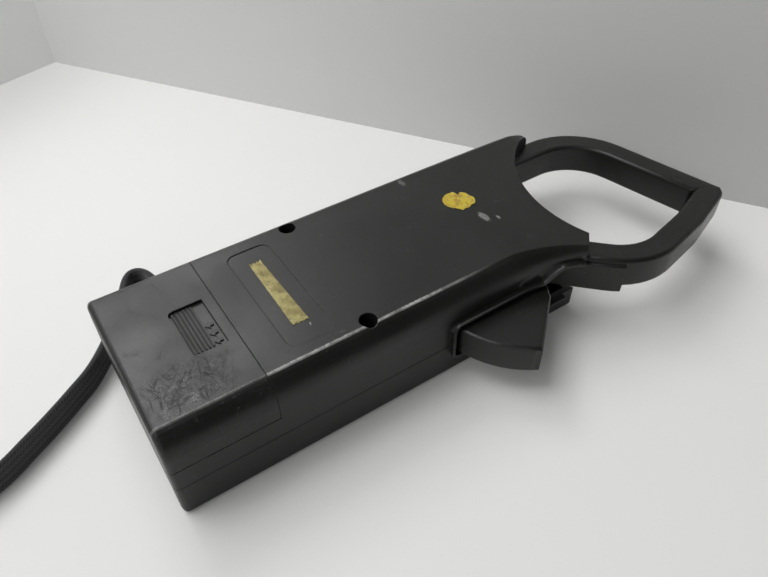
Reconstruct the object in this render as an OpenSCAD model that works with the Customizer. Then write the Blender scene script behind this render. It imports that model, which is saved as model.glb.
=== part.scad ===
// Clamp-on meter lying on its front face, back up.
// Two moulded shells hold a laminated ring core: one half stands in the fixed jaw,
// the other half swings with the sprung trigger lever. Behind the front face sit the
// range dial, the display, three test-lead sockets, the board and a nine-volt battery
// under a slide-off cover. A flat braided strap is threaded through the long side.
// Origin: where the dial's axis meets the flat front face. +Y runs to the jaws,
// +Z to the back. Inside this file Y is counted from the battery end.

/* [Case] */
// Width of the case across its long sides
case_w = 70; // [69:0.5:74]
// Thickness from the front face to the flat back
case_h = 37.8; // [37.4:0.2:42]
// Distance from the battery end to the tip of the jaw-end shoulder
case_l = 184.8; // [182:0.2:196]
// Wall thickness of both shells
wall = 2.2; // [1.8:0.1:2.4]
// Height of the parting line above the front face
part_z = 14.4; // [13.6:0.1:14.8]
// How far the long back edges curve in from the sides
edge_run = 5.8; // [4:0.2:7]
// How far the long back edges curve down from the back
edge_drop = 9; // [6:0.5:10]
// Radius of the front edges and of the corners at the battery end
corner_r = 1.8; // [1.4:0.2:3]
// How far the back slopes down towards the jaws
back_drop = 0.6; // [0.2:0.2:1.6]
// Gap between pieces that lie against each other
gap = 0.25; // [0.15:0.05:0.3]

/* [Jaws] */
// Width of each jaw across its arm
jaw_w = 10; // [9:0.5:11]
// Lowest height of the jaws above the front face
jaw_z0 = 17; // [16.6:0.2:17.4]
// Thickness of the jaws
jaw_t = 13; // [12:0.5:13.5]
// Radius of the jaws' long edges
jaw_edge_r = 1.6; // [1:0.2:2]
// Wall of the jaw mouldings around the core
jaw_wall = 1.7; // [1.5:0.1:1.9]
// Gap between the two jaws at the tip
seam_gap = 0.2; // [0.1:0.05:0.4]

/* [Trigger] */
// Radius of the trigger's outer arc about the pivot
trig_r = 36; // [35:0.5:36.5]
// Lowest height of the trigger plate
trig_z0 = 10.4; // [10.2:0.1:11]
// Thickness of the trigger plate
trig_t = 12.4; // [11:0.2:13]
// Radius of the lever's hub
hub_r = 9.4; // [8.5:0.1:9.6]
// Radius of the pivot pin
pin_r = 2; // [1.6:0.1:2.2]
// Running clearance of the hub on its pin, on the radius
pin_play = 0.05; // [0.03:0.01:0.08]

/* [Battery end] */
// Length of the battery cover
cover_l = 35.8; // [35:0.1:36.4]
// Thickness of the battery cover
cover_t = 2.2; // [2:0.1:2.4]
// Lowest height of the battery cover's sides
cover_z = 23.1; // [22:0.2:25]
// Length of the battery
battery_l = 46; // [44:0.5:47]
// Width of the battery
battery_w = 26.2; // [25:0.2:26.4]
// Thickness of the battery
battery_t = 17; // [16:0.2:17.4]

/* [Front face] */
// Distance from the battery end to the dial's axis
dial_y = 91.8; // [90:0.2:94]
// Radius of the range dial
dial_r = 21.5; // [19:0.5:22.5]
// Width of the display window
window_w = 52; // [48:1:56]
// Height of the display window along the case
window_l = 23; // [20:0.5:24]
// Distance from the battery end to the middle of the window
window_y = 48.8; // [47:0.2:50]
// Distance between neighbouring sockets
socket_pitch = 19; // [18.5:0.1:19.5]
// Bore radius of the socket sleeves
socket_r = 2.05; // [2.0:0.01:2.1]

/* [Board] */
// Height of the board's front side above the front face
board_z = 10.4; // [10.4:0.1:10.8]
// Thickness of the board
board_t = 1.6; // [1.2:0.2:1.8]

/* [Strap] */
// Width of the flat braided strap
strap_w = 10.5; // [9:0.5:11]
// Thickness of the strap
strap_t = 2; // [1.4:0.1:2.2]

/* [Hidden] */
$fn = 48;
half_w = case_w / 2;
fillet_n = 6;

// Back opening end: the shoulder, the flare over the pivot and the window
shoulder_y = case_l - 23;
shoulder_r = 6;
nose_l = 5;
nose_roll = 13;
nose_wall = 1.7;
flare_y = case_l - 55;
flare_r = 51;
flare_l = 27;
flare_run = 2;
flare_drop = 3;
window_big = [half_w - 17, case_l + 23];
window_big_r = 50;
window_small = [half_w - 36, case_l - 8];
window_small_r = 13.5;
end_sum = half_w + case_l - 23.3;
exit_x = half_w - 9.5;
far = 90;
crease = 70;

// Pivot and trigger slot
pivot = [half_w - 8, case_l - 47];
slot_y = pivot[1] - trig_r - 0.4;
slot_z0 = trig_z0 - 0.6;
slot_z1 = trig_z0 + trig_t + 1.7;
slot_rise_y = pivot[1] + 1;
slot_rise = 9;
slot_round = 2;
exit_z = jaw_z0 + jaw_t + 0.7;
bead_w = 1.2;
bead_out = 2.2;
boss_r = 3.6;
spring_r = boss_r + 0.9;
spring_wire = 0.5;
spring_leg = 6;
spring_turns = 4;
coil_z0 = wall + 0.8;
coil_z1 = coil_z0 + 2.16 * spring_wire * spring_turns;
lug_r = 1;
trig_a0 = -78;
trig_a1 = -28.5;
trig_root = [14.6, 2.4];
trig_edge = 1.2;
root_r = 17.5;

// Jaws: flat paths of [length, turn] legs
arm_start = pivot + [-2.4, 13];
arm_heading = 45;
arm_legs = [[24.45, 0], [22.2, 53], [42, 14], [5, 0]];
sleeve_legs = [[24.45, 0], [4.6, 11]];
sleeve_out = 1.4;
sleeve_z0 = jaw_z0 - 1.5;
sleeve_z1 = jaw_z0 + jaw_t - 2;
fixed_x = -half_w + 10.3;
fixed_root_y = case_l - 19;
core_bend_r = 15;
core_end_x = arm_start[0] - 0.3;
core_run = core_end_x - fixed_x - core_bend_r;
core_w = jaw_w - 2 * jaw_wall - 0.6;
core_z0 = jaw_z0 + jaw_wall + 0.3;
core_z1 = jaw_z0 + jaw_t - jaw_wall - 0.3;
seam = pivot + [6, 86];
seam_heading = 60.7;
seam_l = 11.24;
tip = seam + seam_l * [cos(seam_heading), sin(seam_heading)];
tip_heading = -28.2;
// The fixed jaw rises, bends and runs straight to the middle of the seam
seam_middle = (seam + tip) / 2;
fixed_turn = 76.5;
fixed_bend_r = 26.7;
fixed_run = (seam_middle[0] - fixed_x - fixed_bend_r * (1 - cos(fixed_turn))) / sin(fixed_turn);
fixed_rise = seam_middle[1] - fixed_root_y - fixed_bend_r * sin(fixed_turn) - fixed_run * cos(fixed_turn);
fixed_legs = [[fixed_rise, 0], [fixed_bend_r * fixed_turn * PI / 180, -fixed_turn], [fixed_run + jaw_w, 0]];
nose_y = case_l + nose_l;
nose_x = fixed_x - jaw_w / 2 - nose_wall;
nose_inner_x = fixed_x + jaw_w / 2 + nose_wall;
nose_z0 = jaw_z0 - nose_wall + 0.2;
nose_drop = case_h - back_drop - jaw_z0 - jaw_t - nose_wall;
collar_y = fixed_root_y;
collar_l = 4;
collar_side = 1;

// Battery box
box_floor = case_h - cover_t - battery_t - 0.5;
box_x = half_w - wall - cover_t - gap;
box_y0 = cover_t + gap + wall;
box_y1 = box_y0 + battery_w + 0.6;
box_wall_y = box_y1 + 2;
label_y = cover_l + 18.5;
label_w = 49;
label_l = 16.1;
label_d = 0.3;
recess_w = 21.4;
recess_l = 11.9;
recess_d = 1.1;
recess_y = cover_l - 9.7;
rib_n = 6;
torn_at = [-5.7, case_l - 51.2];

// Case screws and their tubes
screw_x = half_w - 7.7;
screw_y = dial_y - 19.6;
screw_head_r = 2.7;
screw_r = 1.5;
tube_r = 4.3;
screw_seat_z = 20;

// Front face
dish_r = dial_r + 1.5;
dish_d = 5.5;
dish_floor = 1.8;
shaft_r = 6;
shaft_play = 0.06;
rotor_r = 14;
sleeve_wall = 0.9;
socket_y = 13.8;
socket_n = 3;
shroud_r = 4.2;
shroud_wall = 1.5;
socket_z0 = 1.2;
socket_z1 = part_z - 0.4;
overlay_t = 0.4;
window_t = 1;
glass_t = 2.8;

// Hold button in the left long side
hold_y = case_l - 71;
hold_z = part_z + 4;
hold_l = 12;
hold_h = 6;
hold_out = 1.2;
hold_travel = 1;

// Board outline
board_x = half_w - 4;
board_y0 = 22;
board_y1 = case_l - 43;
board_notch_x = 14.5;
post_r = 2.6;
posts = [[-board_x + 7, board_y0 + 8], [board_x - 7, board_y0 + 8], [-board_x + 4, board_y1 - 6]];

// What stands on the board: places of the middles and sizes
chip_at = [-2, window_y + 7];
chip_w = 14;
chip_t = 2.2;
pin_pitch = 1.1;
small_caps = [[10, screw_y + 9.6], [16.5, screw_y + 9.6]];
small_cap_r = 2.6;
small_cap_h = 8;
large_cap_at = [-20, window_y - 1];
large_cap_r = 3.2;
large_cap_h = 9;
trimmer_at = [-24, board_y1 - 12];
trimmer_w = 6.6;
trimmer_t = 4.5;
trimmer_pitch = 8.5;
resistor_l = 6.4;
resistor_r = 1.15;
resistor_pitch = 4.4;
shunt_y = screw_y;
shunt_l = 18;
shunt_r = 0.9;
shunt_rise = 2.6;
fuse_at = [18, window_y - 3];
fuse_l = 20;
fuse_r = 2.3;
fuse_cap_l = 4.5;
fuse_cap_r = 2.6;
buzzer_at = [-16, dial_y - 2];
buzzer_r = 7;
buzzer_h = 5;
// Row of resistors, midway between the buzzer and the trimmers
resistor_at = [-20, (buzzer_at[1] + buzzer_r + trimmer_at[1] - trimmer_w / 2 - resistor_l) / 2];

// Strap: slot, post and route [x, y, z] of its middle; it stands on edge all the way
strap_y = 28.8;
strap_z = 7.6;
post_x = -half_w + wall + 3.2;
post_top = box_floor - 1.6;
strap_route = [
    [-31.1, 28.8, 7.6], [-37, 28.8, 7.6], [-44, 28.7, 7.3], [-52, 28.1, 6.9], [-60, 27.2, 6.5],
    [-65.2, 25.7, 6.4], [-68.1, 23.2, 6.3], [-68.3, 20.2, 6.2], [-65.8, 17.4, 6.1], [-61, 14.7, 6],
    [-55, 11.4, 5.8], [-49, 7.8, 5.7], [-43, 3.8, 5.6], [-37.4, -0.4, 5.5], [-32.4, -4.6, 5.5],
    [-28.2, -9, 5.5], [-24.4, -14.2, 5.5], [-20.4, -19.8, 5.5], [-15.9, -26.5, 5.5],
    [-11.6, -33.5, 5.5], [-7.5, -40.2, 5.5], [-4.4, -47.6, 5.5], [-2.6, -55.7, 5.5],
    [-1.9, -64.2, 5.5], [-2, -72.7, 5.5], [-2.3, -81.2, 5.5], [-1.4, -89.2, 5.5], [2, -96.8, 5.5],
    [7.6, -104, 5.5], [13.4, -111.2, 5.5], [17.2, -119.2, 5.5], [17.6, -128.2, 5.5],
    [14.2, -136.6, 5.5], [7, -142.2, 5.5], [-2, -144.2, 5.5], [-11, -142.2, 5.5], [-18.2, -136.6, 5.5],
    [-21.8, -128.2, 5.5], [-21.4, -119.2, 5.5], [-17.4, -111.2, 5.5], [-11.4, -104.2, 5.5],
    [-7, -97.2, 5.5], [-5, -89.6, 5.5], [-4.8, -82.2, 5.5]
];

// Colours
charcoal = [0.17, 0.18, 0.17];
dark = [0.1, 0.1, 0.1];
steel = [0.62, 0.63, 0.65];
brass = [0.75, 0.6, 0.3];
copper = [0.65, 0.36, 0.2];
board_green = [0.12, 0.36, 0.2];

// ---------- General shapes ----------

function mix(a, b, t) = a + (b - a) * t;
function ramp(v, a, b) = min(1, max(0, (v - a) / (b - a)));
// How far a corner of radius r steps back at distance d from its end
function rounding(d, r) = d >= r ? 0 : r - sqrt(r * r - pow(r - max(d, 0), 2));

// Closed solid through rings that all hold the same number of points
module skin(rings) {
    n = len(rings[0]);
    m = len(rings);
    sides = [for (j = [0:m - 2], i = [0:n - 1]) let (k = (i + 1) % n)
        [j * n + i, j * n + k, (j + 1) * n + k, (j + 1) * n + i]];
    first = [for (i = [n - 1:-1:0]) i];
    last = [for (i = [0:n - 1]) (m - 1) * n + i];
    polyhedron([for (ring = rings) each ring], concat([first], sides, [last]), convexity = 6);
}

// Points [x, y, heading] along a flat path of [length, turn] legs
function leg_points(p, h, length, turn) = turn == 0
    ? [[p[0] + length * cos(h), p[1] + length * sin(h), h]]
    : let (r = length / (turn * PI / 180), n = ceil(abs(turn) / 7))
      [for (i = [1:n]) let (a = turn * i / n)
          [p[0] + r * (sin(h + a) - sin(h)), p[1] + r * (cos(h) - cos(h + a)), h + a]];
function trail(p, legs, i = 0) = i == len(legs) ? [p]
    : let (pts = leg_points(p, p[2], legs[i][0], legs[i][1]))
      concat([p], [for (k = [0:len(pts) - 2]) if (len(pts) > 1) pts[k]],
             trail(pts[len(pts) - 1], legs, i + 1));

// Rounded rectangle section: u to the right of the path, z up
function rounded_section(u0, u1, z0, z1, r) = [
    for (c = [[u1 - r, z1 - r, 0], [u0 + r, z1 - r, 90], [u0 + r, z0 + r, 180], [u1 - r, z0 + r, 270]],
         k = [0:2]) [c[0] + r * cos(c[2] + 45 * k), c[1] + r * sin(c[2] + 45 * k)]];
function plain_section(u0, u1, z0, z1) = [[u1, z0], [u1, z1], [u0, z1], [u0, z0]];

// Bar of one section along a path of [x, y, heading] points
module bar(path, section)
    skin([for (p = path) [for (q = section) [p[0] + q[0] * sin(p[2]), p[1] - q[0] * cos(p[2]), q[1]]]]);

// Flat plate with round corners, centred, standing on z = 0
module plate(w, l, t, r) {
    linear_extrude(t) {
        square([w - 2 * r, l], center = true);
        square([w, l - 2 * r], center = true);
        for (x = [-1, 1], y = [-1, 1])
            translate([x * (w / 2 - r), y * (l / 2 - r)]) circle(r, $fn = 32);
    }
}

// Thin round wire through hand-set points
function aim(a, b) = (b - a) / norm(b - a);
module wire(pts, r, sides = 8) {
    n = len(pts);
    skin([for (i = [0:n - 1]) let (
            d = aim(pts[max(i - 1, 0)], pts[min(i + 1, n - 1)]),
            s = abs(d[2]) > 0.9 ? [1, 0, 0] : [0, 0, 1],
            u = cross(d, s) / norm(cross(d, s)),
            v = cross(u, d))
        [for (k = [0:sides - 1]) pts[i] + r * (cos(360 * k / sides) * u + sin(360 * k / sides) * v)]]);
}

module tube(r, bore, h) {
    difference() {
        cylinder(r = r, h = h);
        translate([0, 0, -1]) cylinder(r = bore, h = h + 2);
    }
}

// ---------- Case body ----------

function flare(y) = y <= flare_y ? 0
    : flare_r - sqrt(flare_r * flare_r - pow(min(y - flare_y, flare_l), 2));
// Share of a quarter round that starts at a and closes at b
function closing(y, a, b) = 1 - sqrt(1 - pow(ramp(y, a, b), 2));
function cheek_x(y) = mix(-half_w, nose_x, closing(y, shoulder_y, nose_y));
function left_x(y, i) = cheek_x(y) + i
    + (shoulder_r - i) * closing(y, case_l - shoulder_r, case_l - i);
function nose_side_x(y) =
    mix(window_small[0] - window_small_r, nose_inner_x, closing(y, window_small[1] + 2, nose_y));
function top_z(y) = case_h - back_drop * pow(ramp(y, flare_y - 10, case_l), 2)
    - nose_drop * closing(y, nose_y - nose_roll, nose_y);

// Long edge as [in from the side, up from its foot]; it meets the flat back in a crease
function long_edge(run, drop) = [for (k = [0:fillet_n]) let (a = crease * k / fillet_n)
    [run * (1 - cos(a)) / (1 - cos(crease)), drop * sin(a) / sin(crease)]];
function reversed(v) = [for (k = [len(v) - 1:-1:0]) v[k]];

// Closed section from z0 up to zt between xl and xr, with [run, drop] edges
function arch_section(y, xl, xr, z0, zt, left, right) = concat(
    [[xr, y, z0]],
    [for (e = long_edge(right[0], right[1])) [xr - e[0], y, zt - right[1] + e[1]]],
    [for (e = reversed(long_edge(left[0], left[1]))) [xl + e[0], y, zt - left[1] + e[1]]],
    [[xl, y, z0]]);

// Section of the back half at y, inset by i, open side at z0; d is its end rounding
function arch(y, i, z0) =
    let (d = rounding(y - i, corner_r), t = ramp(y, flare_y, flare_y + flare_l))
    arch_section(y, left_x(y, i) + d, half_w + flare(y) - i - d, z0, top_z(y) - i - d,
        [max(edge_run - i, 0.6), max(edge_drop - i, 0.6)],
        [max(mix(edge_run, flare_run, t) - i, 0.6), max(mix(edge_drop, flare_drop, t) - i, 0.6)]);

// The shoulder's nose wraps the root of the fixed jaw and rolls down onto it
function nose_section(y) = let (t = closing(y, shoulder_y, nose_y))
    arch_section(y, cheek_x(y), nose_side_x(y), nose_z0, top_z(y),
        [mix(edge_run, flare_run, t), mix(edge_drop, flare_drop, t)],
        [mix(0.6, flare_run, t), mix(0.6, flare_drop, t)]);

// Section of the front half at y, inset by i, open side at z1
function tray(y, i, z1) =
    let (d = rounding(y - i, corner_r), r = max(corner_r - i, 0.6),
         xl = left_x(y, i) + d, xr = half_w - i - d, zb = i + d)
    concat([[xl, y, z1]],
        [for (k = [0:fillet_n]) let (a = 180 + 90 * k / fillet_n)
            [xl + r + r * cos(a), y, zb + r + r * sin(a)]],
        [for (k = [0:fillet_n]) let (a = 270 + 90 * k / fillet_n)
            [xr - r + r * cos(a), y, zb + r + r * sin(a)]],
        [[xr, y, z1]]);

function end_stations(i) = [for (k = [0:4]) i + corner_r * (1 - cos(22.5 * k))];
function shoulder_stations() = [for (k = [0:3]) mix(shoulder_y, case_l - shoulder_r, k / 3)];
function stations(i) = concat(end_stations(i), [flare_y - 10],
    [for (k = [0:7]) flare_y + flare_l * k / 7], shoulder_stations(),
    [for (k = [1:6]) mix(case_l - shoulder_r, case_l - i, sin(15 * k))]);

module back_form(i, z0) skin([for (y = stations(i)) arch(y, i, z0)]);
module front_form(i, z1) skin([for (y = stations(i)) tray(y, i, z1)]);
module nose() skin([for (y = concat(shoulder_stations(),
    [for (k = [1:8]) mix(case_l - shoulder_r, nose_y, sin(11.25 * k))])) nose_section(y)]);

// Everything past the jaw end, grown by i: the cable window and the slanted end
module beyond(i, slanted) {
    translate([0, 0, -1]) linear_extrude(case_h + 2) {
        translate(window_big) circle(window_big_r + i, $fn = 96);
        translate(window_small) circle(window_small_r + i, $fn = 72);
        polygon(concat([window_small], [for (k = [0:8])
            let (y = mix(window_small[1], nose_y, sin(11.25 * k))) [nose_side_x(y) - i, y]],
            [[window_small[0], nose_y]]));
        if (slanted) {
            s = end_sum - i * sqrt(2);
            polygon([[0, s], [far, s - far], [far, s]]);
        }
    }
}

// Side view of the trigger slot and jaw exit, grown by g, with round corners at its near end
function slot_view(g) = concat(
    [for (c = [[slot_z0 + slot_round, 270], [slot_z1 - slot_round, 180]], k = [0:4])
        let (a = c[1] - 22.5 * k, r = slot_round + g)
        [slot_y + slot_round + r * cos(a), c[0] + r * sin(a)]],
    [for (k = [0:6]) let (t = k / 6) [slot_rise_y + slot_rise * t - g * sin(180 * t) / 2,
        mix(slot_z1, exit_z, (1 - cos(180 * t)) / 2) + g]],
    [[case_l, exit_z + g], [case_l, slot_z0 - g]]);

module slot_bar(g, x0, x1)
    translate([x0, 0, 0]) rotate([90, 0, 90]) linear_extrude(x1 - x0) polygon(slot_view(g));

// Cutter for the slot in the long side and for the jaw's way out at the end
module slot_cut() {
    slot_bar(0, half_w - wall - 0.5, far);
    intersection() {
        slot_bar(0, exit_x, far);
        translate([exit_x, slot_rise_y + slot_rise + 2, 0]) cube([far, far, case_h]);
    }
}

// Raised bead around the slot, following the outside of the case
module bead(outer) {
    difference() {
        intersection() {
            if (outer) back_form(-bead_out, part_z);
            else front_form(-bead_out, part_z);
            slot_bar(bead_w, half_w - wall, far);
            translate([0, slot_y - 5, 0]) cube([far, flare_y + flare_l - slot_y + 3, case_h]);
        }
        slot_cut();
    }
}

// ---------- Case pieces ----------

module sockets_at() {
    for (k = [0:socket_n - 1])
        translate([(k - (socket_n - 1) / 2) * socket_pitch, socket_y, 0]) children();
}

module front_shell() color(charcoal) {
    difference() {
        union() {
            difference() {
                front_form(0, part_z);
                difference() {
                    front_form(wall, part_z + 1);
                    beyond(wall, false);
                }
            }
            bead(false);
            // dish wall and floor for the dial
            translate([0, dial_y, 0]) cylinder(r = dish_r + wall - 0.4, h = dish_d + dish_floor);
            // shrouds of the sockets
            sockets_at() cylinder(r = shroud_r + shroud_wall, h = part_z - 3);
            // screw bosses, board posts and the pivot boss
            for (x = [-1, 1]) translate([x * screw_x, screw_y, wall - 0.1])
                cylinder(r = tube_r - 0.7, h = part_z - wall);
            for (p = posts) translate([p[0], p[1], wall - 0.1])
                cylinder(r = post_r, h = board_z - wall + 0.1);
            translate([pivot[0], pivot[1], wall - 0.1]) cylinder(r = boss_r, h = slot_z0 - wall);
            // stop of the spring's fixed leg
            translate([pivot[0] - spring_r + spring_wire + lug_r, pivot[1] + 2 * spring_leg - 2, wall - 0.1])
                cylinder(r = lug_r - 0.03, h = coil_z0 + spring_wire - wall + 0.4, $fn = 24);
            // frame that the display window and glass sit in
            translate([0, window_y, wall - 0.1]) difference() {
                plate(window_w + 5, window_l + 5, 2.4, 2);
                translate([0, 0, -1]) plate(window_w + 1, window_l + 1, 5, 1);
            }
        }
        beyond(0, false);
        slot_cut();
        // dial dish with the shaft's bore and the detent dimples
        translate([0, dial_y, -1]) cylinder(r = dish_r, h = dish_d + 1);
        translate([0, dial_y, -1]) cylinder(r = shaft_r + shaft_play, h = part_z);
        for (k = [0:23]) translate([0, dial_y, dish_d - 0.1]) rotate(15 * k)
            translate([dial_r - 3.5, 0, 0]) cylinder(r = 1.1, h = 0.4, $fn = 16);
        // display window and its rebate
        translate([0, window_y, -1]) plate(window_w - 5, window_l - 5, 5, 1.5);
        translate([0, window_y, -1]) plate(window_w + 0.4, window_l + 0.4, 1 + window_t + 0.2, 2);
        // recess of the printed overlay
        translate([0, dial_y, -1]) plate(case_w - 10, 2 * dish_r + 5, 1 + overlay_t + 0.15, 3);
        // socket holes
        sockets_at() {
            translate([0, 0, -1]) cylinder(r = shroud_r, h = socket_z0 + 1);
            translate([0, 0, -1]) cylinder(r = socket_r + sleeve_wall + 0.05, h = part_z);
        }
        // pilot holes
        for (x = [-1, 1]) translate([x * screw_x, screw_y, 4]) cylinder(r = 1.3, h = part_z);
        for (p = posts) translate([p[0], p[1], 4]) cylinder(r = 0.9, h = part_z);
        translate([pivot[0], pivot[1], wall + 0.6]) cylinder(r = pin_r + 0.01, h = part_z);
        // slot for the strap and the pin hole of its post
        translate([-half_w - 1, strap_y - strap_t / 2 - 0.6, strap_z - strap_w / 2 - 0.4])
            cube([wall + 2, strap_t + 1.2, strap_w + 0.8]);
        translate([post_x, strap_y, wall - 1]) cylinder(r = 1.21, h = part_z, $fn = 24);
    }
}

module hold_opening(g, x0, x1)
    translate([x0, hold_y, hold_z]) rotate([90, 0, 90])
        plate(hold_l + 2 * g, hold_h + 2 * g, x1 - x0, 2);

module rear_shell() color(charcoal) {
    difference() {
        union() {
            difference() {
                union() {
                    back_form(0, part_z);
                    nose();
                }
                // main cavity behind the battery box
                intersection() {
                    difference() {
                        back_form(wall, part_z - 1);
                        beyond(wall, true);
                    }
                    translate([-far, box_wall_y, 0]) cube([2 * far, far * 2, case_h]);
                }
                // low space under the battery box
                translate([-half_w + wall, wall, part_z - 1])
                    cube([case_w - 2 * wall, box_wall_y, box_floor - 1.4 - part_z + 1]);
            }
            bead(true);
            // screw tubes
            intersection() {
                for (x = [-1, 1]) translate([x * screw_x, screw_y, part_z])
                    cylinder(r = tube_r, h = case_h);
                back_form(0.5, part_z - 1);
            }
            // boss over the pivot pin
            translate([pivot[0], pivot[1], slot_z1])
                cylinder(r = boss_r, h = top_z(pivot[1]) - wall / 2 - slot_z1);
            // socket that holds the top of the strap post
            translate([post_x, strap_y, part_z + 0.1]) cylinder(r = 2.4, h = box_floor - 1.5 - part_z);
            // cradle of the fixed jaw's collar
            for (y = [collar_y - 1.8, collar_y + collar_l + 0.3]) intersection() {
                translate([-half_w + 1, y, part_z]) cube([17, 1.5, case_h - part_z - 3]);
                back_form(1, part_z);
            }
        }
        beyond(0, true);
        slot_cut();
        // step for the battery cover
        difference() {
            translate([-far, -5, cover_z - gap]) cube([2 * far, cover_l + 5, case_h]);
            skin([for (y = concat(end_stations(cover_t + gap), [cover_l + 2]))
                arch(y, cover_t + gap, cover_z - 3)]);
        }
        // rails that the cover runs on
        for (x = [-1, 1]) translate([x * (half_w - cover_t - gap), cover_l / 2 - 1, cover_z + 3])
            cube([1.6, cover_l + 2, 1.8], center = true);
        // battery box
        translate([-box_x, box_y0, box_floor]) cube([2 * box_x, box_y1 - box_y0, case_h]);
        // notch for the battery leads
        translate([box_x - 4.4, box_y1 - 1, box_floor + 6]) cube([3.6, 4, 4]);
        // the fixed jaw passes through the shoulder
        bar(trail([fixed_x, fixed_root_y, 90], [[30, 0]]),
            rounded_section(-jaw_w / 2 - 0.15, jaw_w / 2 + 0.15, jaw_z0 - 0.15,
                            jaw_z0 + jaw_t + 0.15, jaw_edge_r));
        bar(trail([fixed_x, fixed_root_y - 6, 90], [[12, 0]]),
            plain_section(-core_w / 2 - 0.4, core_w / 2 + 0.4, core_z0 - 0.4, core_z1 + 0.4));
        translate([post_x, strap_y, part_z]) cylinder(r = 1.22, h = post_top - part_z + 0.1, $fn = 24);
        // pin hole, screw holes
        translate([pivot[0], pivot[1], 0]) cylinder(r = pin_r + 0.01, h = top_z(pivot[1]) - wall);
        for (x = [-1, 1]) translate([x * screw_x, screw_y, 0]) {
            cylinder(r = screw_r + 0.3, h = case_h);
            translate([0, 0, screw_seat_z]) cylinder(r = screw_head_r + 0.35, h = case_h);
        }
        // label recess
        translate([0, label_y, case_h - label_d]) plate(label_w, label_l, 2, 3.5);
        hold_opening(0.15, -half_w - 1, -half_w + wall + 1);
    }
}

module battery_cover() color(charcoal) {
    ys = end_stations(0);
    difference() {
        skin([for (y = concat(ys, [cover_l - 0.15])) arch(y, 0, cover_z)]);
        skin([for (y = concat(end_stations(cover_t), [cover_l + 2])) arch(y, cover_t, cover_z - 1)]);
        // finger recess: round corners towards the battery end
        translate([0, recess_y, case_h - recess_d]) {
            plate(recess_w, recess_l, 3, 2);
            translate([-recess_w / 2, 0, 0]) cube([recess_w, recess_l / 2, 3]);
        }
    }
    // grip ribs in the recess
    for (k = [0:rib_n - 1])
        translate([-recess_w / 2 + 0.8, recess_y - recess_l / 2 + 1 + 1.25 * k, case_h - recess_d - 0.1])
            cube([recess_w - 1.6, 0.55, 0.75]);
    // rails
    for (x = [-1, 1]) translate([x * (half_w - cover_t - 0.1), cover_l / 2 + 1, cover_z + 3])
        cube([0.9, cover_l - 8, 1.1], center = true);
}

// ---------- Jaws ----------

// Keeps one side of the tip seam: side 1 keeps the lever, side -1 the fixed jaw
module seam_cut(side, g) {
    translate([seam[0], seam[1], 0]) rotate(seam_heading)
        translate([-far / 2, side > 0 ? -g : -far + g, 0]) cube([far * 1.5, far, case_h + 10]);
}

module fixed_jaw() color(charcoal) {
    path = trail([fixed_x, fixed_root_y, 90], fixed_legs);
    difference() {
        union() {
            bar(path, rounded_section(-jaw_w / 2, jaw_w / 2, jaw_z0, jaw_z0 + jaw_t, jaw_edge_r));
            translate([fixed_x - jaw_w / 2 - collar_side, collar_y, jaw_z0 - 2])
                cube([jaw_w + 2 * collar_side, collar_l, jaw_t + 4]);
        }
        bar(trail([fixed_x, fixed_root_y - 1, 90], concat([[1, 0]], fixed_legs, [[2, 0]])),
            plain_section(-core_w / 2 - 0.3, core_w / 2 + 0.3, core_z0 - 0.3, core_z1 + 0.3));
        seam_cut(-1, 0);
    }
}

module fixed_core() color(steel) {
    difference() {
        bar(trail([core_end_x, fixed_root_y - core_bend_r, 180],
                  concat([[core_run, 0], [core_bend_r * PI / 2, -90]], fixed_legs)),
            plain_section(-core_w / 2, core_w / 2, core_z0, core_z1));
        seam_cut(-1, -0.1);
    }
}

// Part of the lever arm that stays inside the case keeps within root_r of the pivot
module root_trim(r) {
    difference() {
        cube([exit_x + 5, case_l, case_h]);
        translate([pivot[0], pivot[1], -1]) cylinder(r = r, h = case_h + 2, $fn = 96);
    }
}

module arm_ends(g, r) {
    seam_cut(1, g);
    translate([tip[0], tip[1], 0]) rotate(tip_heading) translate([-far / 2, 0, 0])
        cube([far, far, case_h]);
    translate([arm_start[0] - far, arm_start[1] - 20, 0]) cube([far, 40, case_h]);
    root_trim(r);
}

module trigger_view(inset) {
    offset(delta = -inset) hull() {
        circle(hub_r);
        polygon(concat([[0, 0], trig_root], [for (k = [0:10]) let (a = mix(trig_a0, trig_a1, k / 10))
            trig_r * [cos(a), sin(a)]]));
    }
}

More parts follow.
